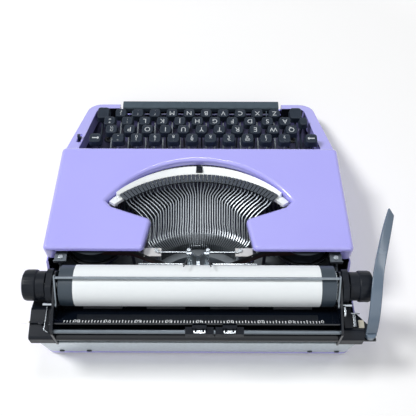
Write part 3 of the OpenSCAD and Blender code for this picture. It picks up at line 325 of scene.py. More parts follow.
def inked_ribbon(name):
    # Inked cotton ribbon: black over red, dull, with a plain weave drawn at 3.8 mm so that it shows.
    material, tree, place = begin(name)
    thread = per(0.6) / 20  # a Wave node turns 20 radians in a unit: 0.6 mm a radian is 3.8 mm a thread
    axes = add(tree, "ShaderNodeSeparateXYZ", {"Vector": place})
    half = add(tree, "ShaderNodeMath", {0: (axes, "Z"), 1: 59.3 * MM}, operation="GREATER_THAN")
    tint = add(tree, "ShaderNodeMix", {0: (half, "Value"), MIX_A: linear("#2E1719"), MIX_B: linear("#15161A")},
               data_type="RGBA")
    warp = add(tree, "ShaderNodeTexWave", {"Vector": place, "Scale": thread}, bands_direction="X")
    weft = add(tree, "ShaderNodeTexWave", {"Vector": place, "Scale": thread}, bands_direction="Z")
    weave = add(tree, "ShaderNodeMath", {0: (warp, "Fac"), 1: (weft, "Fac")}, operation="MULTIPLY")
    skin = add(tree, "ShaderNodeBump", {"Height": (weave, "Value"), "Strength": 0.4, "Distance": 0.1 * MM})
    return ended(material, add(tree, "ShaderNodeBsdfPrincipled", {
        "Base Color": (tint, MIXED), "Roughness": 0.8, "Normal": (skin, "Normal")}))


def seen(tree):
    """1 for what the camera, a mirror or glass sees, 0 for what only lights the object."""
    path = add(tree, "ShaderNodeLightPath", {})
    mask = (path, "Is Camera Ray")
    for ray in ("Is Glossy Ray", "Is Transmission Ray"):
        mask = (add(tree, "ShaderNodeMath", {0: mask, 1: (path, ray)}, operation="MAXIMUM"), 0)
    return mask


def paper_sweep(name, colour):
    # Matt white paper sweep: it takes the shadow, and the camera sees it pale where the lamps no longer reach.
    material, tree, place = begin(name)
    matt = add(tree, "ShaderNodeBsdfDiffuse", {"Color": colour})
    away = add(tree, "ShaderNodeVectorMath", {0: place}, operation="LENGTH")
    sweep = add(tree, "ShaderNodeMapRange", {"Value": (away, "Value"), "From Min": 0.4, "From Max": 1.5,
                                             "To Min": 0.1, "To Max": 0.9})
    glow = add(tree, "ShaderNodeMath", {0: seen(tree), 1: (sweep, "Result")}, operation="MULTIPLY")
    light = add(tree, "ShaderNodeEmission", {"Strength": (glow, 0)})
    return ended(material, add(tree, "ShaderNodeAddShader", {0: (matt, 0), 1: (light, 0)}))


# Shaping

def moved(x, y, z):
    """The move to a point given in millimetres."""
    return Matrix.Translation(Vector((x, y, z)) * MM)


def merged_copy(name):
    """A CAD node's mesh with its loose triangles merged and its flat faces made whole."""
    bm = bmesh.new()
    bm.from_mesh(nodes[name].data)
    bmesh.ops.remove_doubles(bm, verts=bm.verts, dist=WELD)
    bmesh.ops.dissolve_limit(bm, angle_limit=FLAT, verts=bm.verts, edges=bm.edges)
    bmesh.ops.connect_verts_concave(bm, faces=bm.faces)
    return bm


def whole(bm):
    """All of a bmesh, for an operator that takes geometry."""
    return bm.verts[:] + bm.edges[:] + bm.faces[:]


def points_in(geometry):
    """The vertices among an operator's results."""
    return [g for g in geometry if isinstance(g, bmesh.types.BMVert)]


def edges_at(points):
    """The edges that meet some vertices."""
    return list({e for v in points for e in v.link_edges})


def square_edges(bm):
    """The edges that turn by more than a radian."""
    return [e for e in bm.edges if e.calc_face_angle() > 1]


def upper_edges(bm, height, up, down=-math.inf):
    """Convex edges above a height in millimetres, by how far their faces look up and down."""
    return [e for e in bm.edges if e.is_convex and e.calc_face_angle() > math.radians(30)
            and max(f.normal.z for f in e.link_faces) > up
            and min(f.normal.z for f in e.link_faces) > down
            and min(v.co.z for v in e.verts) > height * MM]


def round_edges(bm, edges, size, segments):
    """Rounds some edges of a bmesh."""
    bmesh.ops.bevel(bm, geom=edges, offset=size, offset_type="OFFSET", segments=segments, profile=0.5,
                    affect="EDGES", clamp_overlap=False, material=-1)


def solid(bm, name, material):
    """A finished bmesh becomes an object."""
    mesh = bpy.data.meshes.new(name)
    bm.to_mesh(mesh)
    bm.free()
    mesh.materials.append(material)
    made = bpy.data.objects.new(name, mesh)
    bpy.context.scene.collection.objects.link(made)
    return made


def piece(bm, name, body, material, stands_for=()):
    """A finished bmesh becomes an object that rides on a body."""
    for face in bm.faces:
        face.smooth = True
    for edge in bm.edges:
        edge.smooth = edge.is_manifold and edge.calc_face_angle() < SHARP
    made = solid(bm, name, material)
    made.modifiers.new("Even shading", "WEIGHTED_NORMAL").keep_sharp = True
    if stands_for:
        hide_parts(*stands_for)
    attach(made, body)
    return made


def smooth_by_angle():
    """The node group that shades a kept CAD node smooth, but for its sharp edges."""
    name = "Smooth but for sharp edges"
    if name in bpy.data.node_groups:
        return bpy.data.node_groups[name]
    group = bpy.data.node_groups.new(name, "GeometryNodeTree")
    for way in ("INPUT", "OUTPUT"):
        group.interface.new_socket("Geometry", in_out=way, socket_type="NodeSocketGeometry")
    start = add(group, "NodeGroupInput", {})
    angle = add(group, "GeometryNodeInputMeshEdgeAngle", {})
    sharp = add(group, "FunctionNodeCompare", {0: (angle, 0), 1: SHARP}, operation="GREATER_THAN")
    faces = add(group, "GeometryNodeSetShadeSmooth", {0: (start, 0), 2: True}, domain="FACE")
    edges = add(group, "GeometryNodeSetShadeSmooth", {0: (faces, 0), 1: (sharp, 0), 2: False}, domain="EDGE")
    add(group, "NodeGroupOutput", {0: (edges, 0)})
    return group


def dress(names, material, edge):
    """Kept CAD nodes get their finish and an edge that many millimetres wide."""
    for name in names:
        made = nodes[name]
        made.material_slots[0].material = material
        made.modifiers.new("Merge", "WELD").merge_threshold = WELD
        flat = made.modifiers.new("Whole faces", "DECIMATE")
        flat.decimate_type = "DISSOLVE"
        flat.angle_limit = FLAT
        broken = made.modifiers.new("Broken edges", "BEVEL")
        broken.width = edge * MM
        broken.segments = 2
        broken.limit_method = "ANGLE"
        broken.angle_limit = SHARP
        made.modifiers.new("Shading", "NODES").node_group = smooth_by_angle()
        made.modifiers.new("Even shading", "WEIGHTED_NORMAL").keep_sharp = True


def put(bm, other, matrix=Matrix()):
    """Adds one bmesh to another, moved by a matrix."""
    other.transform(matrix)
    mesh = bpy.data.meshes.new("part")
    other.to_mesh(mesh)
    other.free()
    bm.from_mesh(mesh)
    bpy.data.meshes.remove(mesh)


def lettering(words):
    """Flat letters as one bmesh; words are (text, capital height, matrix)."""
    capital = 0.72  # a capital's height as a share of the font's size
    texts = []
    for text, height, matrix in words:
        curve = bpy.data.curves.new("letters", "FONT")
        curve.body = text
        curve.align_x = "CENTER"
        curve.align_y = "CENTER"
        curve.size = height / capital
        curve.extrude = 0.02 * MM
        curve.resolution_u = 3
        made = bpy.data.objects.new("letters", curve)
        bpy.context.scene.collection.objects.link(made)
        texts.append((made, matrix))
    bpy.context.view_layer.update()
    graph = bpy.context.evaluated_depsgraph_get()
    bm = bmesh.new()
    for made, matrix in texts:
        mesh = bpy.data.meshes.new_from_object(made.evaluated_get(graph))
        mesh.transform(matrix)
        bm.from_mesh(mesh)
        bpy.data.meshes.remove(mesh)
    for made, _ in texts:
        curve = made.data
        bpy.data.objects.remove(made)
        bpy.data.curves.remove(curve)
    bmesh.ops.remove_doubles(bm, verts=bm.verts, dist=WELD)
    return bm


def close_holes(bm):
    """Fills a bmesh's open ends and turns its faces outwards."""
    bmesh.ops.holes_fill(bm, edges=[e for e in bm.edges if e.is_boundary], sides=0)
    bmesh.ops.recalc_face_normals(bm, faces=bm.faces)


def join_rings(bm, rings):
    """Bridges rings of edges, one after the other, and closes the ends."""
    for one, two in zip(rings, rings[1:]):
        bmesh.ops.bridge_loops(bm, edges=one + two)
    close_holes(bm)


def round_bar(points, radius, sides=12):
    """A round bar along some points, with closed ends, in millimetres."""
    points = [Vector(point) * MM for point in points]
    bm = bmesh.new()
    rings = []
    for i, point in enumerate(points):
        ahead = points[min(i + 1, len(points) - 1)] - points[max(i - 1, 0)]
        turn = ahead.to_track_quat("Z", "Y").to_matrix().to_4x4()
        ring = bmesh.ops.create_circle(bm, segments=sides, radius=radius * MM,
                                       matrix=Matrix.Translation(point) @ turn)
        rings.append(edges_at(ring["verts"]))
    join_rings(bm, rings)
    return bm


def plain_box(centre, size):
    """A box about a point."""
    bm = bmesh.new()
    bmesh.ops.create_cube(bm, size=1, matrix=Matrix.Translation(centre) @ Matrix.Diagonal((*size, 1)))
    return bm


def block(low, high, rounding):
    """A box between two corners with rounded edges, in millimetres."""
    low, high = Vector(low) * MM, Vector(high) * MM
    bm = plain_box((low + high) / 2, high - low)
    round_edges(bm, bm.edges[:], rounding * MM, 2)
    return bm


def card(bm, matrix, width, height):
    """Adds a flat rectangle, in millimetres, and gives its vertices."""
    return bmesh.ops.create_grid(bm, x_segments=1, y_segments=1, size=0.5,
                                 matrix=matrix @ Matrix.Diagonal((width * MM, height * MM, 1, 1)))["verts"]


def screw(radius, height):
    """A slotted screw head that stands on z = 0, in millimetres."""
    radius, height = radius * MM, height * MM
    crown, half_slot = height * 0.9, radius * 0.16
    bm = bmesh.new()
    bmesh.ops.create_cone(bm, cap_ends=True, segments=24, radius1=radius, radius2=radius, depth=height,
                          matrix=Matrix.Translation((0, 0, height / 2)))
    top = [e for e in bm.edges if all(v.co.z > crown for v in e.verts)]
    round_edges(bm, top, height * 0.45, 3)
    for side in (-1, 1):
        bmesh.ops.bisect_plane(bm, geom=whole(bm), plane_co=(side * half_slot, 0, 0), plane_no=(1, 0, 0))
    slot = [f for f in bm.faces if f.normal.z > 0.99 and abs(f.calc_center_median().x) < radius * 0.05
            and f.calc_center_median().z > crown]
    cut = bmesh.ops.extrude_face_region(bm, geom=slot)
    bmesh.ops.delete(bm, geom=slot, context="FACES")
    bmesh.ops.translate(bm, vec=(0, 0, -height * 0.6), verts=points_in(cut["geom"]))
    bmesh.ops.recalc_face_normals(bm, faces=bm.faces)
    return bm


# Operators

WELL_REAR = -45 * MM     # the case's sides are painted dark inside behind this line, as painted shade
FRONT_WALL = -100 * MM   # and its front wall, in front of this one
PANEL_HEIGHT = 42 * MM
PANEL_UPPER = 40 * MM    # points of the rear panel above this lean back
PANEL_LEAN = 6 * MM      # by so much
PANEL_RISE = 5.5 * MM    # and go up by so much
PANEL_SCREWS = (126, 101, -103.5, -128.5)  # x in millimetres


class TYPEWRITER_OT_case(bpy.types.Operator):
    """Case, base pan, rear panel with its screws, and feet"""
    bl_idname = "typewriter.case"
    bl_label = "Case"

    def execute(self, context):
        settings = context.scene.typewriter_case
        lacquer = lacquered_abs("Lacquered ABS case", settings.lacquer, settings.lacquer_deep)
        bm = merged_copy("body_shell")
        round_edges(bm, upper_edges(bm, height=15, up=0.7, down=-0.3), settings.deck_round, 4)
        # Inner faces of the key well, on the sides behind WELL_REAR and on the front wall, get the near-black second
        # material: painted shade inside the well.
        for face in bm.faces:
            middle = face.calc_center_median()
            shaded_inner_side = middle.x * face.normal.x < -50 * MM and middle.y > WELL_REAR
            shaded_inner_front = middle.y < FRONT_WALL and face.normal.y > 0.5
            face.material_index = int(shaded_inner_side or shaded_inner_front)
        made = piece(bm, "case_body", "frame", lacquer, ["body_shell"])
        # This near-black ABS on the well's inner faces is painted shade.
        made.data.materials.append(moulded_abs("Bare ABS inside", linear("#15181D"), 0.8, 0.45))
        # The base pan takes that dark violet, which is painted shade under the keys rather than the pan's own lavender.
        dress(["base_pan"], stoved_enamel("Enamelled base pan", settings.pan, 0.4), 0.6)
        dress(["rubber_feet"], ground_rubber("Moulded rubber feet", linear("#1E2126")), 0.4)
        front, rear = (corner.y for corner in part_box("rear_panel"))
        bm = merged_copy("rear_panel")
        upper = [v for v in bm.verts if v.co.z > PANEL_UPPER and v.co.y > front + 1 * MM]
        bmesh.ops.translate(bm, vec=(0, PANEL_LEAN, PANEL_RISE), verts=upper)
        round_edges(bm, square_edges(bm), 0.5 * MM, 2)
        enamel = hammered_enamel("Hammered enamel panel", settings.hammered)
        piece(bm, "leaning_panel", "frame", enamel, ["rear_panel"])
        lean = Matrix.Rotation(-math.pi / 2 - math.atan2(PANEL_LEAN, PANEL_HEIGHT), 4, "X")
        bm = bmesh.new()
        for x in PANEL_SCREWS:
            foot = Matrix.Translation((x * MM, rear + 0.7 * MM, 12 * MM))
            slot = Matrix.Rotation(x * 0.03, 4, "Z")  # each slot at an angle of its own
            put(bm, screw(2.3, 1.1), foot @ lean @ slot)
        steel = metal("Blackened screw steel", linear("#3A3E44"), 0.35, 0.4, 2)
        piece(bm, "panel_screws", "frame", steel)
        return {"FINISHED"}


class TYPEWRITER_OT_cover(bpy.types.Operator):
    """Ribbon cover with its rounded rim"""
    bl_idname = "typewriter.cover"
    bl_label = "Ribbon cover"

    def execute(self, context):
        settings = context.scene.typewriter_case
        bm = merged_copy("ribbon_cover")
        round_edges(bm, upper_edges(bm, height=66, up=0.9), settings.cover_round, 5)
        lacquer = lacquered_abs("Lacquered ABS cover", settings.lacquer, settings.lacquer_deep)
        piece(bm, "cover_lid", "cover", lacquer, ["ribbon_cover"])
        return {"FINISHED"}


ROWS = {
    "number_row": ["\"2", "/3", "@4", "%5", "_6", "&7", "'8", "(9", ")0", "*-"],
    "top_row": ["Q", "W", "E", "R", "T", "Y", "U", "I", "O", "P", "¼½"],
    "home_row": ["A", "S", "D", "F", "G", "H", "J", "K", "L", ":;", "+="],
    "bottom_row": ["Z", "X", "C", "V", "B", "N", "M", "?,", "!.", "|£"],
}
SERVICE_KEYS = {  # each key's body, and its top's depth in millimetres
    "h_key": ("key_h", 13), "left_shift_key": ("left_shift", 17), "right_shift_key": ("right_shift", 17),
    "shift_lock_key": ("shift_lock", 12), "backspace_key": ("backspace", 13),
    "margin_release_key": ("margin_release", 13),
}
CAP_HEIGHT = 6.5 * MM
CAP_EDGE = 0.7 * MM
DISH_STEPS = (0.7 * MM, 0.8 * MM)     # widths of the two steps of a key's dish
DISH_STEP_DEPTH = 0.22 * MM
LEGEND_DEPTH = 0.42 * MM              # a hair above the floor of the dish
SIGN_SHARE = 0.68                     # height of one of a key's two signs, to a letter's
SIGN_PLACES = (2.2 * MM, -2.1 * MM)   # where they stand, to the rear and the front of the middle
ARROW_LENGTH, ARROW_WIDTH, ARROW_HEAD = 6.4, 1.3, 2  # in millimetres


def key_caps(places, low, high, settings):
    """Dished key tops, alike, at some x places; low and high are the corners of one."""
    size = high - low
    first = Vector((places[0], (low.y + high.y) / 2, low.z + size.z / 2))
    bm = plain_box(first, size)
    upright = [e for e in bm.edges if abs(e.verts[0].co.z - e.verts[1].co.z) > size.z / 2]
    round_edges(bm, upright, settings.corner, 5)
    top = max(bm.faces, key=lambda f: f.calc_center_median().z)
    bmesh.ops.scale(bm, vec=(1 - settings.draft / size.x, 1 - settings.draft / size.y, 1), verts=top.verts,
                    space=Matrix.Translation(-first))
    round_edges(bm, top.edges[:], CAP_EDGE, 3)
    top = max(bm.faces, key=lambda f: (f.normal.z > 0.99) * f.calc_area() * (f.calc_center_median().z > first.z))
    for step in DISH_STEPS:
        bmesh.ops.inset_region(bm, faces=[top], thickness=step, depth=-DISH_STEP_DEPTH, use_even_offset=True)
    one = whole(bm)
    for x in places[1:]:
        copy = bmesh.ops.duplicate(bm, geom=one)["geom"]
        bmesh.ops.translate(bm, vec=(x - places[0], 0, 0), verts=points_in(copy))
    return bm


class TYPEWRITER_OT_keys(bpy.types.Operator):
    """The four rows of character keys with their legends and levers"""
    bl_idname = "typewriter.keys"
    bl_label = "Character keys"

    def execute(self, context):
        settings = context.scene.typewriter_keys
        plastic = moulded_abs("Moulded ABS keys", settings.plastic, 0.5, 0.34)
        white = moulded_legend("White legend plastic", settings.legend)
        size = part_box("h_key")[1].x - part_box("h_key")[0].x
        for row, texts in ROWS.items():
            low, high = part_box(row + "_keys")
            places = [low.x + size / 2 + i * settings.pitch for i in range(len(texts))]
            words, h_words = [], []
            for x, text in zip(places, texts):
                at = Vector((x, (low.y + high.y) / 2, high.z - LEGEND_DEPTH))
                if len(text) == 1:
                    (h_words if text == "H" else words).append((text, settings.letter, Matrix.Translation(at)))
                    continue
                for sign, y in zip(text, SIGN_PLACES):
                    words.append((sign, settings.letter * SIGN_SHARE, Matrix.Translation(at + Vector((0, y, 0)))))
            caps = [x for x, text in zip(places, texts) if text != "H"]
            piece(key_caps(caps, low, Vector((low.x + size, high.y, high.z)), settings), row + "_tops", row, plastic,
                  [row + "_keys"])
            piece(lettering(words), row + "_legends", row, white)
            if h_words:
                piece(lettering(h_words), "h_legend", "key_h", white)
        steel = metal("Zinc-plated lever steel", linear("#7D8287"), 0.38, 0.5, 6)
        dress([row + "_levers" for row in ROWS] + ["key_fulcrum_rod"], steel, 0.15)
        return {"FINISHED"}


class TYPEWRITER_OT_service_keys(bpy.types.Operator):
    """H key, shift keys, shift lock, backspace, margin release, space bar and ribbon selector"""
    bl_idname = "typewriter.service_keys"
    bl_label = "Service keys"

    def execute(self, context):
        settings = context.scene.typewriter_keys
        plastic = moulded_abs("Moulded ABS service keys", settings.plastic, 0.5, 0.34)
        white = moulded_legend("White arrow plastic", settings.legend)
        for name, (body, depth) in SERVICE_KEYS.items():
            low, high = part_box(name)
            foot = Vector((low.x, low.y, high.z - CAP_HEIGHT))
            head = Vector((high.x, low.y + depth * MM, high.z))
            bm = merged_copy(name)
            bmesh.ops.bisect_plane(bm, geom=whole(bm), plane_co=foot, plane_no=(0, 0, 1), clear_outer=True)
            bmesh.ops.holes_fill(bm, edges=bm.edges, sides=0)
            put(bm, key_caps([(low.x + high.x) / 2], foot, head, settings))
            piece(bm, name + "_dished", body, plastic, [name])
        for name, way in (("backspace", -1), ("margin_release", 1)):
            low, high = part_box(name + "_key")
            depth = SERVICE_KEYS[name + "_key"][1]
            at = Vector(((low.x + high.x) / 2, low.y + depth / 2 * MM, high.z - LEGEND_DEPTH + 0.02 * MM))
            tip = at + Vector((way * ARROW_LENGTH / 2 * MM, 0, 0.01 * MM))
            bm = bmesh.new()
            card(bm, Matrix.Translation(at), ARROW_LENGTH, ARROW_WIDTH)
            bmesh.ops.create_circle(bm, cap_ends=True, segments=3, radius=ARROW_HEAD * MM,
                                    matrix=Matrix.Translation(tip) @ Matrix.Rotation(-way * math.pi / 2, 4, "Z"))
            piece(bm, name + "_arrow", name, white)
        dress(["space_bar"], moulded_abs("Moulded ABS space bar", settings.space, 0.6, 0.4), 0.8)
        dress(["ribbon_selector"], plastic, 0.3)
        return {"FINISHED"}


PRINT_POINT = Vector((0, 80.3, 77)) * MM   # where every slug strikes the platen
BASKET_TILT = math.radians(18.43)
BAR_STEP = math.radians(2.165)             # angle from bar to bar, seen from the print point
BAR_PITCH = 2.39                           # millimetres from bar to bar where they run parallel
OUTER_BAR = 20.5                           # steps from the middle to the outermost bar
SET_START, SET_RUN = 65, 9                 # reach at which the bars leave their fan, and over how much
SLUG_REACH = 97                            # reach at which they are back in it
MIDDLE_BEND, BEND_DROP = 92, 10            # reach at which a middle bar turns back, and how much sooner an outer one


def set_bars(name):
    """Typebars with a sideways set: parallel in the middle, spread again at their slugs."""
    bm = merged_copy(name)
    edges = [e for e in bm.edges if e.is_manifold and e.calc_face_angle() > SHARP]
    round_edges(bm, edges, 0.12 * MM, 1)
    for y in range(-24, 64, 3):  # cuts let the straight bars bend
        bmesh.ops.bisect_plane(bm, geom=whole(bm), dist=FINE, plane_co=(0, y * MM, 0), plane_no=(0, 1, 0))
    ahead = Vector((0, -math.cos(BASKET_TILT), -math.sin(BASKET_TILT)))
    for v in bm.verts:
        along = (v.co - PRINT_POINT).dot(ahead)
        reach = math.hypot(v.co.x, along) / MM
        bar = math.floor(math.atan2(v.co.x, along) / BAR_STEP) + 0.5
        bend = MIDDLE_BEND - BEND_DROP * (bar / OUTER_BAR) ** 2
        share = max(0, min(1, (reach - SET_START) / SET_RUN, (SLUG_REACH - reach) / (SLUG_REACH - bend)))
        v.co.x += share * (BAR_PITCH * bar - reach * math.sin(bar * BAR_STEP)) * MM
    return bm


class TYPEWRITER_OT_basket(bpy.types.Operator):
    """Typebars, segment, type rest with its clip, type guide and card guides"""
    bl_idname = "typewriter.basket"
    bl_label = "Type basket"

    def execute(self, context):
        settings = context.scene.typewriter_basket
        steel = inked_type("Hardened type steel", settings.type_steel, settings.slug)
        for name, body in (("typebars", "frame"), ("h_typebar", "typebar_h")):
            piece(set_bars(name), name + "_set", body, steel, [name])
        dress(["segment"], die_cast("Die-cast segment", settings.casting), 0.0)
        dress(["type_guide"], metal("Satin nickel type guide", linear("#D3DCE3"), 0.35, 0.5, 6), 0.3)
        dress(["type_rest"], stoved_enamel("White enamel type rest", settings.rest, 0.35), 0.4)
        bright = metal("Bright nickel plate", linear("#D5DADD"), 0.16, 0.6, 8)
        dress(["card_guides", "ribbon_vibrator"], bright, 0.15)
        dress(["fulcrum_wire"], bright, 0.0)
        black = moulded_abs("Moulded ABS clip", linear("#14181E"), 0.5, 0.3)
        bm = block((-3.2, -34.9, 57), (3.2, -28.4, 61.8), 0.5)
        put(bm, block((-1.8, -33.2, 61), (1.8, -30.2, 62.4), 0.3))
        piece(bm, "rest_clip", "frame", black)
        return {"FINISHED"}


class TYPEWRITER_OT_ribbon(bpy.types.Operator):
    """Ribbon, spools and spool cups"""
    bl_idname = "typewriter.ribbon"
    bl_label = "Ribbon"

    def execute(self, context):
        cloth = inked_ribbon("Inked cotton ribbon")
        for name, side in (("left", -1), ("right", 1)):
            bm = merged_copy("ribbon")
            for x in range(0, 62, 4):  # halved at x = 0, then cut every 4 mm
                bmesh.ops.bisect_plane(bm, geom=whole(bm), plane_co=(side * x * MM, 0, 0), plane_no=(-side, 0, 0),
                                       clear_outer=x == 0)
            bmesh.ops.holes_fill(bm, edges=[e for e in bm.edges if e.is_boundary], sides=0)
            made = solid(bm, name + "_ribbon", cloth)
            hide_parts("ribbon")
            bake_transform(made)
        dress(["left_spool", "right_spool"], moulded_abs("Moulded ABS spools", linear("#262B31"), 0.8, 0.3), 0.25)
        dress(["spool_cups"], stoved_enamel("Black enamel cups", linear("#15181C"), 0.3), 0.25)
        return {"FINISHED"}


class TYPEWRITER_OT_drive(bpy.types.Operator):
    """Side frames, rails, truck, rack, escapement and drum under the carriage"""
    bl_idname = "typewriter.drive"
    bl_label = "Carriage drive"

    def execute(self, context):
        zinc = metal("Zinc-plated frame steel", linear("#747A80"), 0.4, 0.7, 9)
        dress(["side_frames", "carriage_truck"], zinc, 0.2)
        ground = metal("Ground rod steel", linear("#B9BEC2"), 0.2, 0.3, 12)
        dress(["carriage_rails", "escapement_rack", "cover_hinge_pins"], ground, 0.15)
        dress(["escapement_wheel"], metal("Stamped clock brass", linear("#C59A4A"), 0.28, 0.3, 5), 0.1)
        dress(["mainspring_drum"], metal("Blued drum steel", linear("#4A5058"), 0.35, 0.3, 6), 0.4)
        return {"FINISHED"}


KNOB_PROFILE = [  # x in millimetres, and the share of the knob's radius
    (130, 0.3), (130, 0.87), (130.6, 0.91), (138, 0.91), (138.6, 0.97), (139.6, 1), (147, 1), (149, 0.95),
    (149.9, 0.84), (150, 0.74), (149.2, 0.68), (149.2, 0.2), (149.5, 0.1), (149.5, 0.0)]
KNOB_STEPS = 96
STEPS_PER_FLUTE = 4


def knob():
    """The right knob: a lathe-turned profile about the platen's axis, with flutes in its grip."""
    low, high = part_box("right_knob")
    radius = (high.z - low.z) / 2
    bm = bmesh.new()
    ring = [bm.verts.new((x * MM, PLATEN.y, PLATEN.z + radius * share)) for x, share in KNOB_PROFILE]
    edges = [bm.edges.new(pair) for pair in zip(ring, ring[1:])]
    bmesh.ops.spin(bm, geom=ring + edges, cent=PLATEN, axis=(1, 0, 0), angle=2 * math.pi, steps=KNOB_STEPS,
                   use_merge=True)
    bmesh.ops.remove_doubles(bm, verts=bm.verts, dist=WELD)
    grip = [v for v in bm.verts if 139.3 * MM < v.co.x < 147.5 * MM]
    step = 2 * math.pi / KNOB_STEPS
    flutes = [v for v in grip
              if round(math.atan2(v.co.y - PLATEN.y, v.co.z - PLATEN.z) / step) % STEPS_PER_FLUTE == 0]
    bmesh.ops.scale(bm, vec=(1, 0.985, 0.985), verts=flutes, space=Matrix.Translation(-PLATEN))
    close_holes(bm)
    return bm


class TYPEWRITER_OT_carriage(bpy.types.Operator):
    """Carriage frame, end covers, knobs, platen, rollers, rails, stops and bail"""
    bl_idname = "typewriter.carriage"
    bl_label = "Carriage"

    def execute(self, context):
        settings = context.scene.typewriter_carriage
        black = stoved_enamel("Black stoved enamel", settings.enamel, 0.2, 0.3)
        dress(["carriage_frame"], black, 0.25)
        dress(["paper_table"], stoved_enamel("Mirror-black table enamel", settings.enamel, 0.05, 0.5), 0.4)
        dress(["back_rail"], black, 0.4)
        plastic = moulded_abs("Moulded ABS end covers", settings.plastic, 0.7, 0.36)
        dress(["left_end_cover", "right_end_cover"], plastic, 0.9)
        bm = knob()
        piece(bm.copy(), "right_knob_turned", "platen", plastic, ["right_knob"])
        bmesh.ops.scale(bm, vec=(-1, 1, 1), verts=bm.verts)
        bmesh.ops.reverse_faces(bm, faces=bm.faces)
        piece(bm, "left_knob_turned", "platen", plastic, ["left_knob"])
        dress(["platen"], ground_rubber("Ground platen rubber", settings.rubber), 0.5)
        rubber = ground_rubber("Feed roller rubber", linear("#23272C"))
        dress(["front_feed_rollers", "rear_feed_rollers"], rubber, 0.3)
        bright = metal("Bright nickel rods", linear("#CDD3D7"), 0.15, 0.6, 10)
        dress(["platen_shaft", "paper_release_lever"], bright, 0.25)
        dress(["carriage_release_lever"], bare_tip("Enamelled lever with a bare tip", settings.enamel, 144), 0.2)
        dress(["paper_bail"], metal("Dull nickel bail", linear("#878F95"), 0.3, 0.6, 10), 0.25)
        dress(["margin_rail"], metal("Oiled rail steel", linear("#6F777E"), 0.3, 0.6, 10), 0.25)
        satin = stoved_enamel("Satin black stop enamel", settings.enamel, 0.4, 0.1)
        dress(["left_margin_stop", "right_margin_stop"], satin, 0.4)
        return {"FINISHED"}


COIL_MIDDLE = (125.5, 119, 68)   # front end of the spring's axis, in millimetres
COIL_TURNS, COIL_STEPS = 9, 14   # turns of the spring, and steps in a turn


class TYPEWRITER_OT_fittings(bpy.types.Operator):
    """Posts, links and brackets round the basket, and the springs, wires and clips on the carriage"""
    bl_idname = "typewriter.fittings"
    bl_label = "Small fittings"

    def execute(self, context):
        bright = metal("Bright fitting plate", linear("#B3B9BE"), 0.25, 0.5, 5)
        dark = stoved_enamel("Blackened fitting wire", linear("#1B2025"), 0.3)
        zinc = metal("Zinc-plated bracket steel", linear("#5C6268"), 0.4, 0.5, 4)
        pale = stoved_enamel("Pale enamel plates", linear("#C4C4C4"), 0.4)
        cream = stoved_enamel("Cream bracket enamel", linear("#D8D2C0"), 0.35)
        posts, fingers, brackets, plates = (bmesh.new() for _ in range(4))
        for side in (-1, 1):
            for x, y, foot, head in ((8.8, 60, 27, 64), (38.5, 60.5, 37, 64)):
                put(posts, round_bar([(side * x, y, foot), (side * x, y, head)], 1))
                put(posts, screw(1.9, 1), moved(side * x, y, head))
            for bm, low, high in ((posts, (10, 65, 69), (37, 66.2, 71.5)),
                                  (brackets, (120, 48, 64), (131, 74, 65.4)),
                                  (brackets, (120, 72.8, 64.4), (131, 74, 69)),
                                  (plates, (34, 57.5, 62), (50, 66, 63.2))):
                left, right = sorted((side * low[0], side * high[0]))
                put(bm, block((left, *low[1:]), (right, *high[1:]), 0.3))
            put(posts, screw(2.4, 1.2), moved(side * 125.5, 68, 65.3))
            put(fingers, round_bar([(side * x, y, z) for x, y, z in (
                (5.5, 71.5, 79.5), (8, 82, 92), (10, 88, 97.4), (11.5, 94, 100.8))], 0.5, 8))
        piece(posts, "basket_fittings", "frame", bright)
        piece(brackets, "corner_brackets", "frame", zinc)
        piece(fingers, "card_fingers", "frame", dark)
        piece(plates, "guide_plates", "frame", pale)
        bm = bmesh.new()
        for path, radius in (([(123, 119, 78), (131.5, 119, 78)], 1.3),
                             ([(-123, 119, 78), (-131.5, 119, 78)], 1.3),
                             ([(130.6, 112, 66), (130.4, 118, 67), (130.6, 138, 67), (127, 140, 67)], 0.5),
                             ([(-134, 119.3, 60), (-142, 119.6, 60)], 0.6)):
            put(bm, round_bar(path, radius, 10))
        coil = bmesh.ops.create_circle(bm, segments=8, radius=0.35 * MM, matrix=moved(126.8, 119, 68)
                                       @ Matrix.Rotation(math.pi / 2, 4, "X"))["verts"]
        steps = COIL_TURNS * COIL_STEPS
        bmesh.ops.spin(bm, geom=coil + edges_at(coil), cent=Vector(COIL_MIDDLE) * MM, axis=(0, 1, 0),
                       dvec=(0, 15 * MM / steps, 0), angle=2 * math.pi * COIL_TURNS, steps=steps)
        close_holes(bm)
        put(bm, block((-138.2, 119, 57.4), (-135.8, 131, 59.2), 0.3))
        piece(bm, "carriage_fittings", "carriage", bright)
        bm = block((-145.2, 124.8, 57.4), (-140.4, 132, 58.4), 0.3)
        piece(bm, "bracket_tab", "carriage", cream)
        for body, x in (("left_stop", -27.5), ("right_stop", -2)):
            bm = block((x - 2.5, 139.8, 73.2), (x + 2.5, 141.5, 74.2), 0.2)
            for left, right, front in ((-5.1, -3.9, 139.7), (3.9, 5.1, 139.7), (-5.1, 5.1, 141.9)):
                put(bm, block((x + left, front, 73.2), (x + right, 143, 74.4), 0.2))
            piece(bm, body + "_clip", body, bright)
        return {"FINISHED"}


TABLE_FOOT, TABLE_HEAD = Vector((0, 0.118, 0.062)), Vector((0, 0.136, 0.075))  # the paper table's slope
PAINT = 1.53 * MM          # from that line to just proud of the table's face
FIRST_TICK = -106 * MM
TICK_TOP, NUMBER_MIDDLE = 21.2, 18.7          # how far up the slope, in millimetres
TICK_WIDTH, TICK, LONG_TICK = 0.75, 3.2, 4.2  # in millimetres; a number is as tall as a long tick


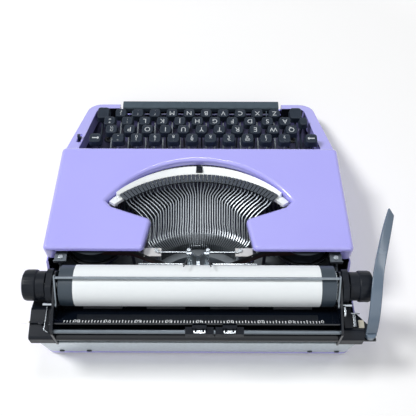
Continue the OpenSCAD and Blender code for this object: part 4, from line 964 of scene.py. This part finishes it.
class TYPEWRITER_OT_scale(bpy.types.Operator):
    """Ticks and numbers on the paper table"""
    bl_idname = "typewriter.scale"
    bl_label = "Scale"

    def execute(self, context):
        settings = context.scene.typewriter_carriage
        across = Vector((1, 0, 0))
        rise = (TABLE_HEAD - TABLE_FOOT).normalized()
        facing = across.cross(rise)
        turn = Matrix((across, rise, facing)).transposed().to_4x4()
        bm = bmesh.new()
        words = []
        for i in range(settings.tick_count + 1):
            at = TABLE_FOOT + facing * PAINT + across * (FIRST_TICK + i * settings.tick_pitch)
            if i % 10 == 0:
                words.append((str(i), LONG_TICK * MM, Matrix.Translation(at + rise * NUMBER_MIDDLE * MM) @ turn))
                continue
            tall = LONG_TICK if i % 5 == 0 else TICK
            card(bm, Matrix.Translation(at + rise * (TICK_TOP - tall / 2) * MM) @ turn, TICK_WIDTH, tall)
        put(bm, lettering(words))
        white = moulded_legend("White scale paint", linear("#E9EDEF"))
        piece(bm, "scale_marks", "carriage", white)
        return {"FINISHED"}


class TYPEWRITER_OT_paper(bpy.types.Operator):
    """Sheet of paper on the platen"""
    bl_idname = "typewriter.paper"
    bl_label = "Paper"

    def execute(self, context):
        settings = context.scene.typewriter_carriage
        low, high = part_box("paper_sheet")
        radius = 17.8 * MM
        turn = math.radians(320)
        start = math.radians(-70)
        bm = bmesh.new()
        ends = [bm.verts.new((x, PLATEN.y + radius * math.cos(start), PLATEN.z + radius * math.sin(start)))
                for x in (low.x, high.x)]
        edge = bm.edges.new(ends)
        bmesh.ops.subdivide_edges(bm, edges=[edge], cuts=20)
        bmesh.ops.spin(bm, geom=whole(bm), cent=PLATEN, axis=(-1, 0, 0), angle=turn, steps=110)
        bmesh.ops.remove_doubles(bm, verts=bm.verts, dist=FINE)
        bmesh.ops.recalc_face_normals(bm, faces=bm.faces)
        white = bond_paper("Bond paper", settings.paper)
        made = piece(bm, "typing_paper", "platen", white, ["paper_sheet"])
        thick = made.modifiers.new("Thickness", "SOLIDIFY")
        thick.thickness = 0.1 * MM
        return {"FINISHED"}


LEVER_PIVOT = Vector((-149, 138.5, 77))
LEVER_SECTIONS = [  # x, y and z from the pivot and half the width, in millimetres, then lean and slant in degrees
    (0, 0, -13, 4.8, 0, 0), (0.2, -6, 1, 4.8, 0, 0), (-0.8, -21.5, 14.6, 4.8, 0, 0), (-4, -42.5, 19.1, 4.6, 4, 0),
    (-11, -65, 20.6, 4.5, 12, 0), (-17, -84, 21.4, 4.4, 20, -10), (-22.5, -99.5, 22, 4.2, 26, -35)]
LEVER_THICKNESS = 2.6
HUB_RADIUS, HUB_HEIGHT = 4.7 * MM, 6 * MM


class TYPEWRITER_OT_return_lever(bpy.types.Operator):
    """Carriage return lever"""
    bl_idname = "typewriter.return_lever"
    bl_label = "Return lever"

    def execute(self, context):
        settings = context.scene.typewriter_carriage
        bm = bmesh.new()
        rings = []
        for i, (x, y, z, half, lean, slant) in enumerate(LEVER_SECTIONS):
            before, after = LEVER_SECTIONS[max(i - 1, 0)], LEVER_SECTIONS[min(i + 1, len(LEVER_SECTIONS) - 1)]
            ahead = Vector(after[:3]) - Vector(before[:3])
            side = Vector((0, 0, 1)).cross(ahead).normalized()
            up = ahead.cross(side).normalized()
            turn = Matrix((side, up, ahead.normalized())).transposed().to_4x4()
            twist = Matrix.Rotation(math.radians(lean), 4, "Z") @ Matrix.Rotation(math.radians(slant), 4, "Y")
            section = moved(*(LEVER_PIVOT + Vector((x, y, z)))) @ turn @ twist
            rings.append(edges_at(card(bm, section, 2 * half, LEVER_THICKNESS)))
        bmesh.ops.delete(bm, geom=bm.faces[:], context="FACES_ONLY")
        join_rings(bm, rings)
        slate = stoved_enamel("Slate enamel lever", settings.lever, 0.25)
        made = piece(bm, "lever_blade", "return_lever", slate, ["return_lever"])
        made.modifiers.clear()
        soft = made.modifiers.new("Rounded edges", "BEVEL")
        soft.width = 0.9 * MM
        soft.segments = 3
        soft.angle_limit = math.radians(50)
        smooth = made.modifiers.new("Smooth", "SUBSURF")
        smooth.levels = smooth.render_levels = 2
        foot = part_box("return_lever")[0].z
        hub = bmesh.new()
        bmesh.ops.create_cone(hub, cap_ends=True, segments=48, radius1=HUB_RADIUS, radius2=HUB_RADIUS, depth=HUB_HEIGHT,
                              matrix=Matrix.Translation((*(LEVER_PIVOT.xy * MM), foot + HUB_HEIGHT / 2)))
        round_edges(hub, square_edges(hub), 0.5 * MM, 3)
        piece(hub, "lever_hub", "return_lever", slate)
        return {"FINISHED"}


FLOOR_HALF = 3                                # half the floor's width, in metres, as are the places below
CAMERA_PLACE = (-0.0095, 0.3139, 0.5708)
CAMERA_DOWN, CAMERA_YAW, CAMERA_ROLL = math.radians(59.47), math.radians(0.143), math.radians(0.083)
LAMP_TARGET = Vector((0, 0, 0.04))
LAMPS = [  # name, setting, width and place
    ("key softbox", "key_lamp", 0.8, (2.0, -0.3, 2.8)), ("front softbox", "front_lamp", 2.4, (-0.15, 1.7, 1.6)),
    ("rim lamp", "rim_lamp", 0.25, (0, -0.35, 1.6)), ("left rim lamp", "rim_lamp", 0.3, (-1.2, -0.3, 1.8))]


class TYPEWRITER_OT_stage(bpy.types.Operator):
    """Floor, lamps, world and camera"""
    bl_idname = "typewriter.stage"
    bl_label = "Stage"

    def execute(self, context):
        settings = context.scene.typewriter_stage
        scene = context.scene
        bm = bmesh.new()
        bmesh.ops.create_grid(bm, x_segments=1, y_segments=1, size=FLOOR_HALF)
        floor = solid(bm, "floor", paper_sweep("White paper sweep", settings.floor))
        scene.world = bpy.data.worlds.new("Studio")
        scene.world.use_nodes = True
        tree = scene.world.node_tree
        tree.nodes.clear()
        level = add(tree, "ShaderNodeMapRange", {"Value": seen(tree), "To Min": 0.12, "To Max": 1.0})
        sky = add(tree, "ShaderNodeBackground", {"Color": linear("#F6FAFF"), "Strength": (level, "Result")})
        add(tree, "ShaderNodeOutputWorld", {"Surface": (sky, 0)})
        for name, power, width, place in LAMPS:
            lamp = bpy.data.lights.new(name, "AREA")
            lamp.energy = getattr(settings, power)
            lamp.size = width
            made = bpy.data.objects.new(name, lamp)
            made.location = place
            made.rotation_euler = (LAMP_TARGET - Vector(place)).to_track_quat("-Z", "Y").to_euler()
            scene.collection.objects.link(made)
        lens = bpy.data.cameras.new("photo camera")
        lens.lens = settings.lens
        lens.sensor_width = 36
        camera = bpy.data.objects.new("photo camera", lens)
        ahead = Vector((math.sin(CAMERA_YAW) * math.cos(CAMERA_DOWN), -math.cos(CAMERA_YAW) * math.cos(CAMERA_DOWN),
                        -math.sin(CAMERA_DOWN)))
        right = Vector((-math.cos(CAMERA_YAW), -math.sin(CAMERA_YAW), 0))
        turn = Matrix((right, right.cross(ahead), -ahead)).transposed().to_4x4()
        camera.matrix_world = Matrix.Translation(CAMERA_PLACE) @ turn @ Matrix.Rotation(CAMERA_ROLL, 4, "Z")
        scene.collection.objects.link(camera)
        scene.camera = camera
        scene.view_settings.view_transform = "Standard"
        return {"FINISHED"}


SETTINGS = {"case": CaseSettings, "keys": KeySettings, "basket": BasketSettings, "carriage": CarriageSettings,
            "stage": StageSettings}
OPERATORS = [TYPEWRITER_OT_stage, TYPEWRITER_OT_case, TYPEWRITER_OT_cover, TYPEWRITER_OT_keys,
             TYPEWRITER_OT_service_keys, TYPEWRITER_OT_basket, TYPEWRITER_OT_ribbon, TYPEWRITER_OT_drive,
             TYPEWRITER_OT_carriage, TYPEWRITER_OT_fittings, TYPEWRITER_OT_scale, TYPEWRITER_OT_paper,
             TYPEWRITER_OT_return_lever]


class TYPEWRITER_PT_panel(bpy.types.Panel):
    """Lists the typewriter's pieces and their settings"""
    bl_idname = "TYPEWRITER_PT_panel"
    bl_label = "Typewriter"
    bl_space_type = "VIEW_3D"
    bl_region_type = "UI"
    bl_category = "Typewriter"

    def draw(self, context):
        for operator in OPERATORS:
            self.layout.operator(operator.bl_idname)
        for name, group in SETTINGS.items():
            rows = self.layout.box()
            rows.label(text=group.__doc__)
            for key in group.__annotations__:
                rows.prop(getattr(context.scene, "typewriter_" + name), key)


def register():
    for name, group in SETTINGS.items():
        bpy.utils.register_class(group)
        setattr(bpy.types.Scene, "typewriter_" + name, PointerProperty(type=group))
    for kind in OPERATORS + [TYPEWRITER_PT_panel]:
        bpy.utils.register_class(kind)


def unregister():
    for kind in reversed(OPERATORS + [TYPEWRITER_PT_panel]):
        bpy.utils.unregister_class(kind)
    for name, group in SETTINGS.items():
        delattr(bpy.types.Scene, "typewriter_" + name)
        bpy.utils.unregister_class(group)


def main():
    register()
    for operator in OPERATORS:
        getattr(bpy.ops.typewriter, operator.bl_idname.split(".")[1])()


if __name__ == "__main__":
    main()
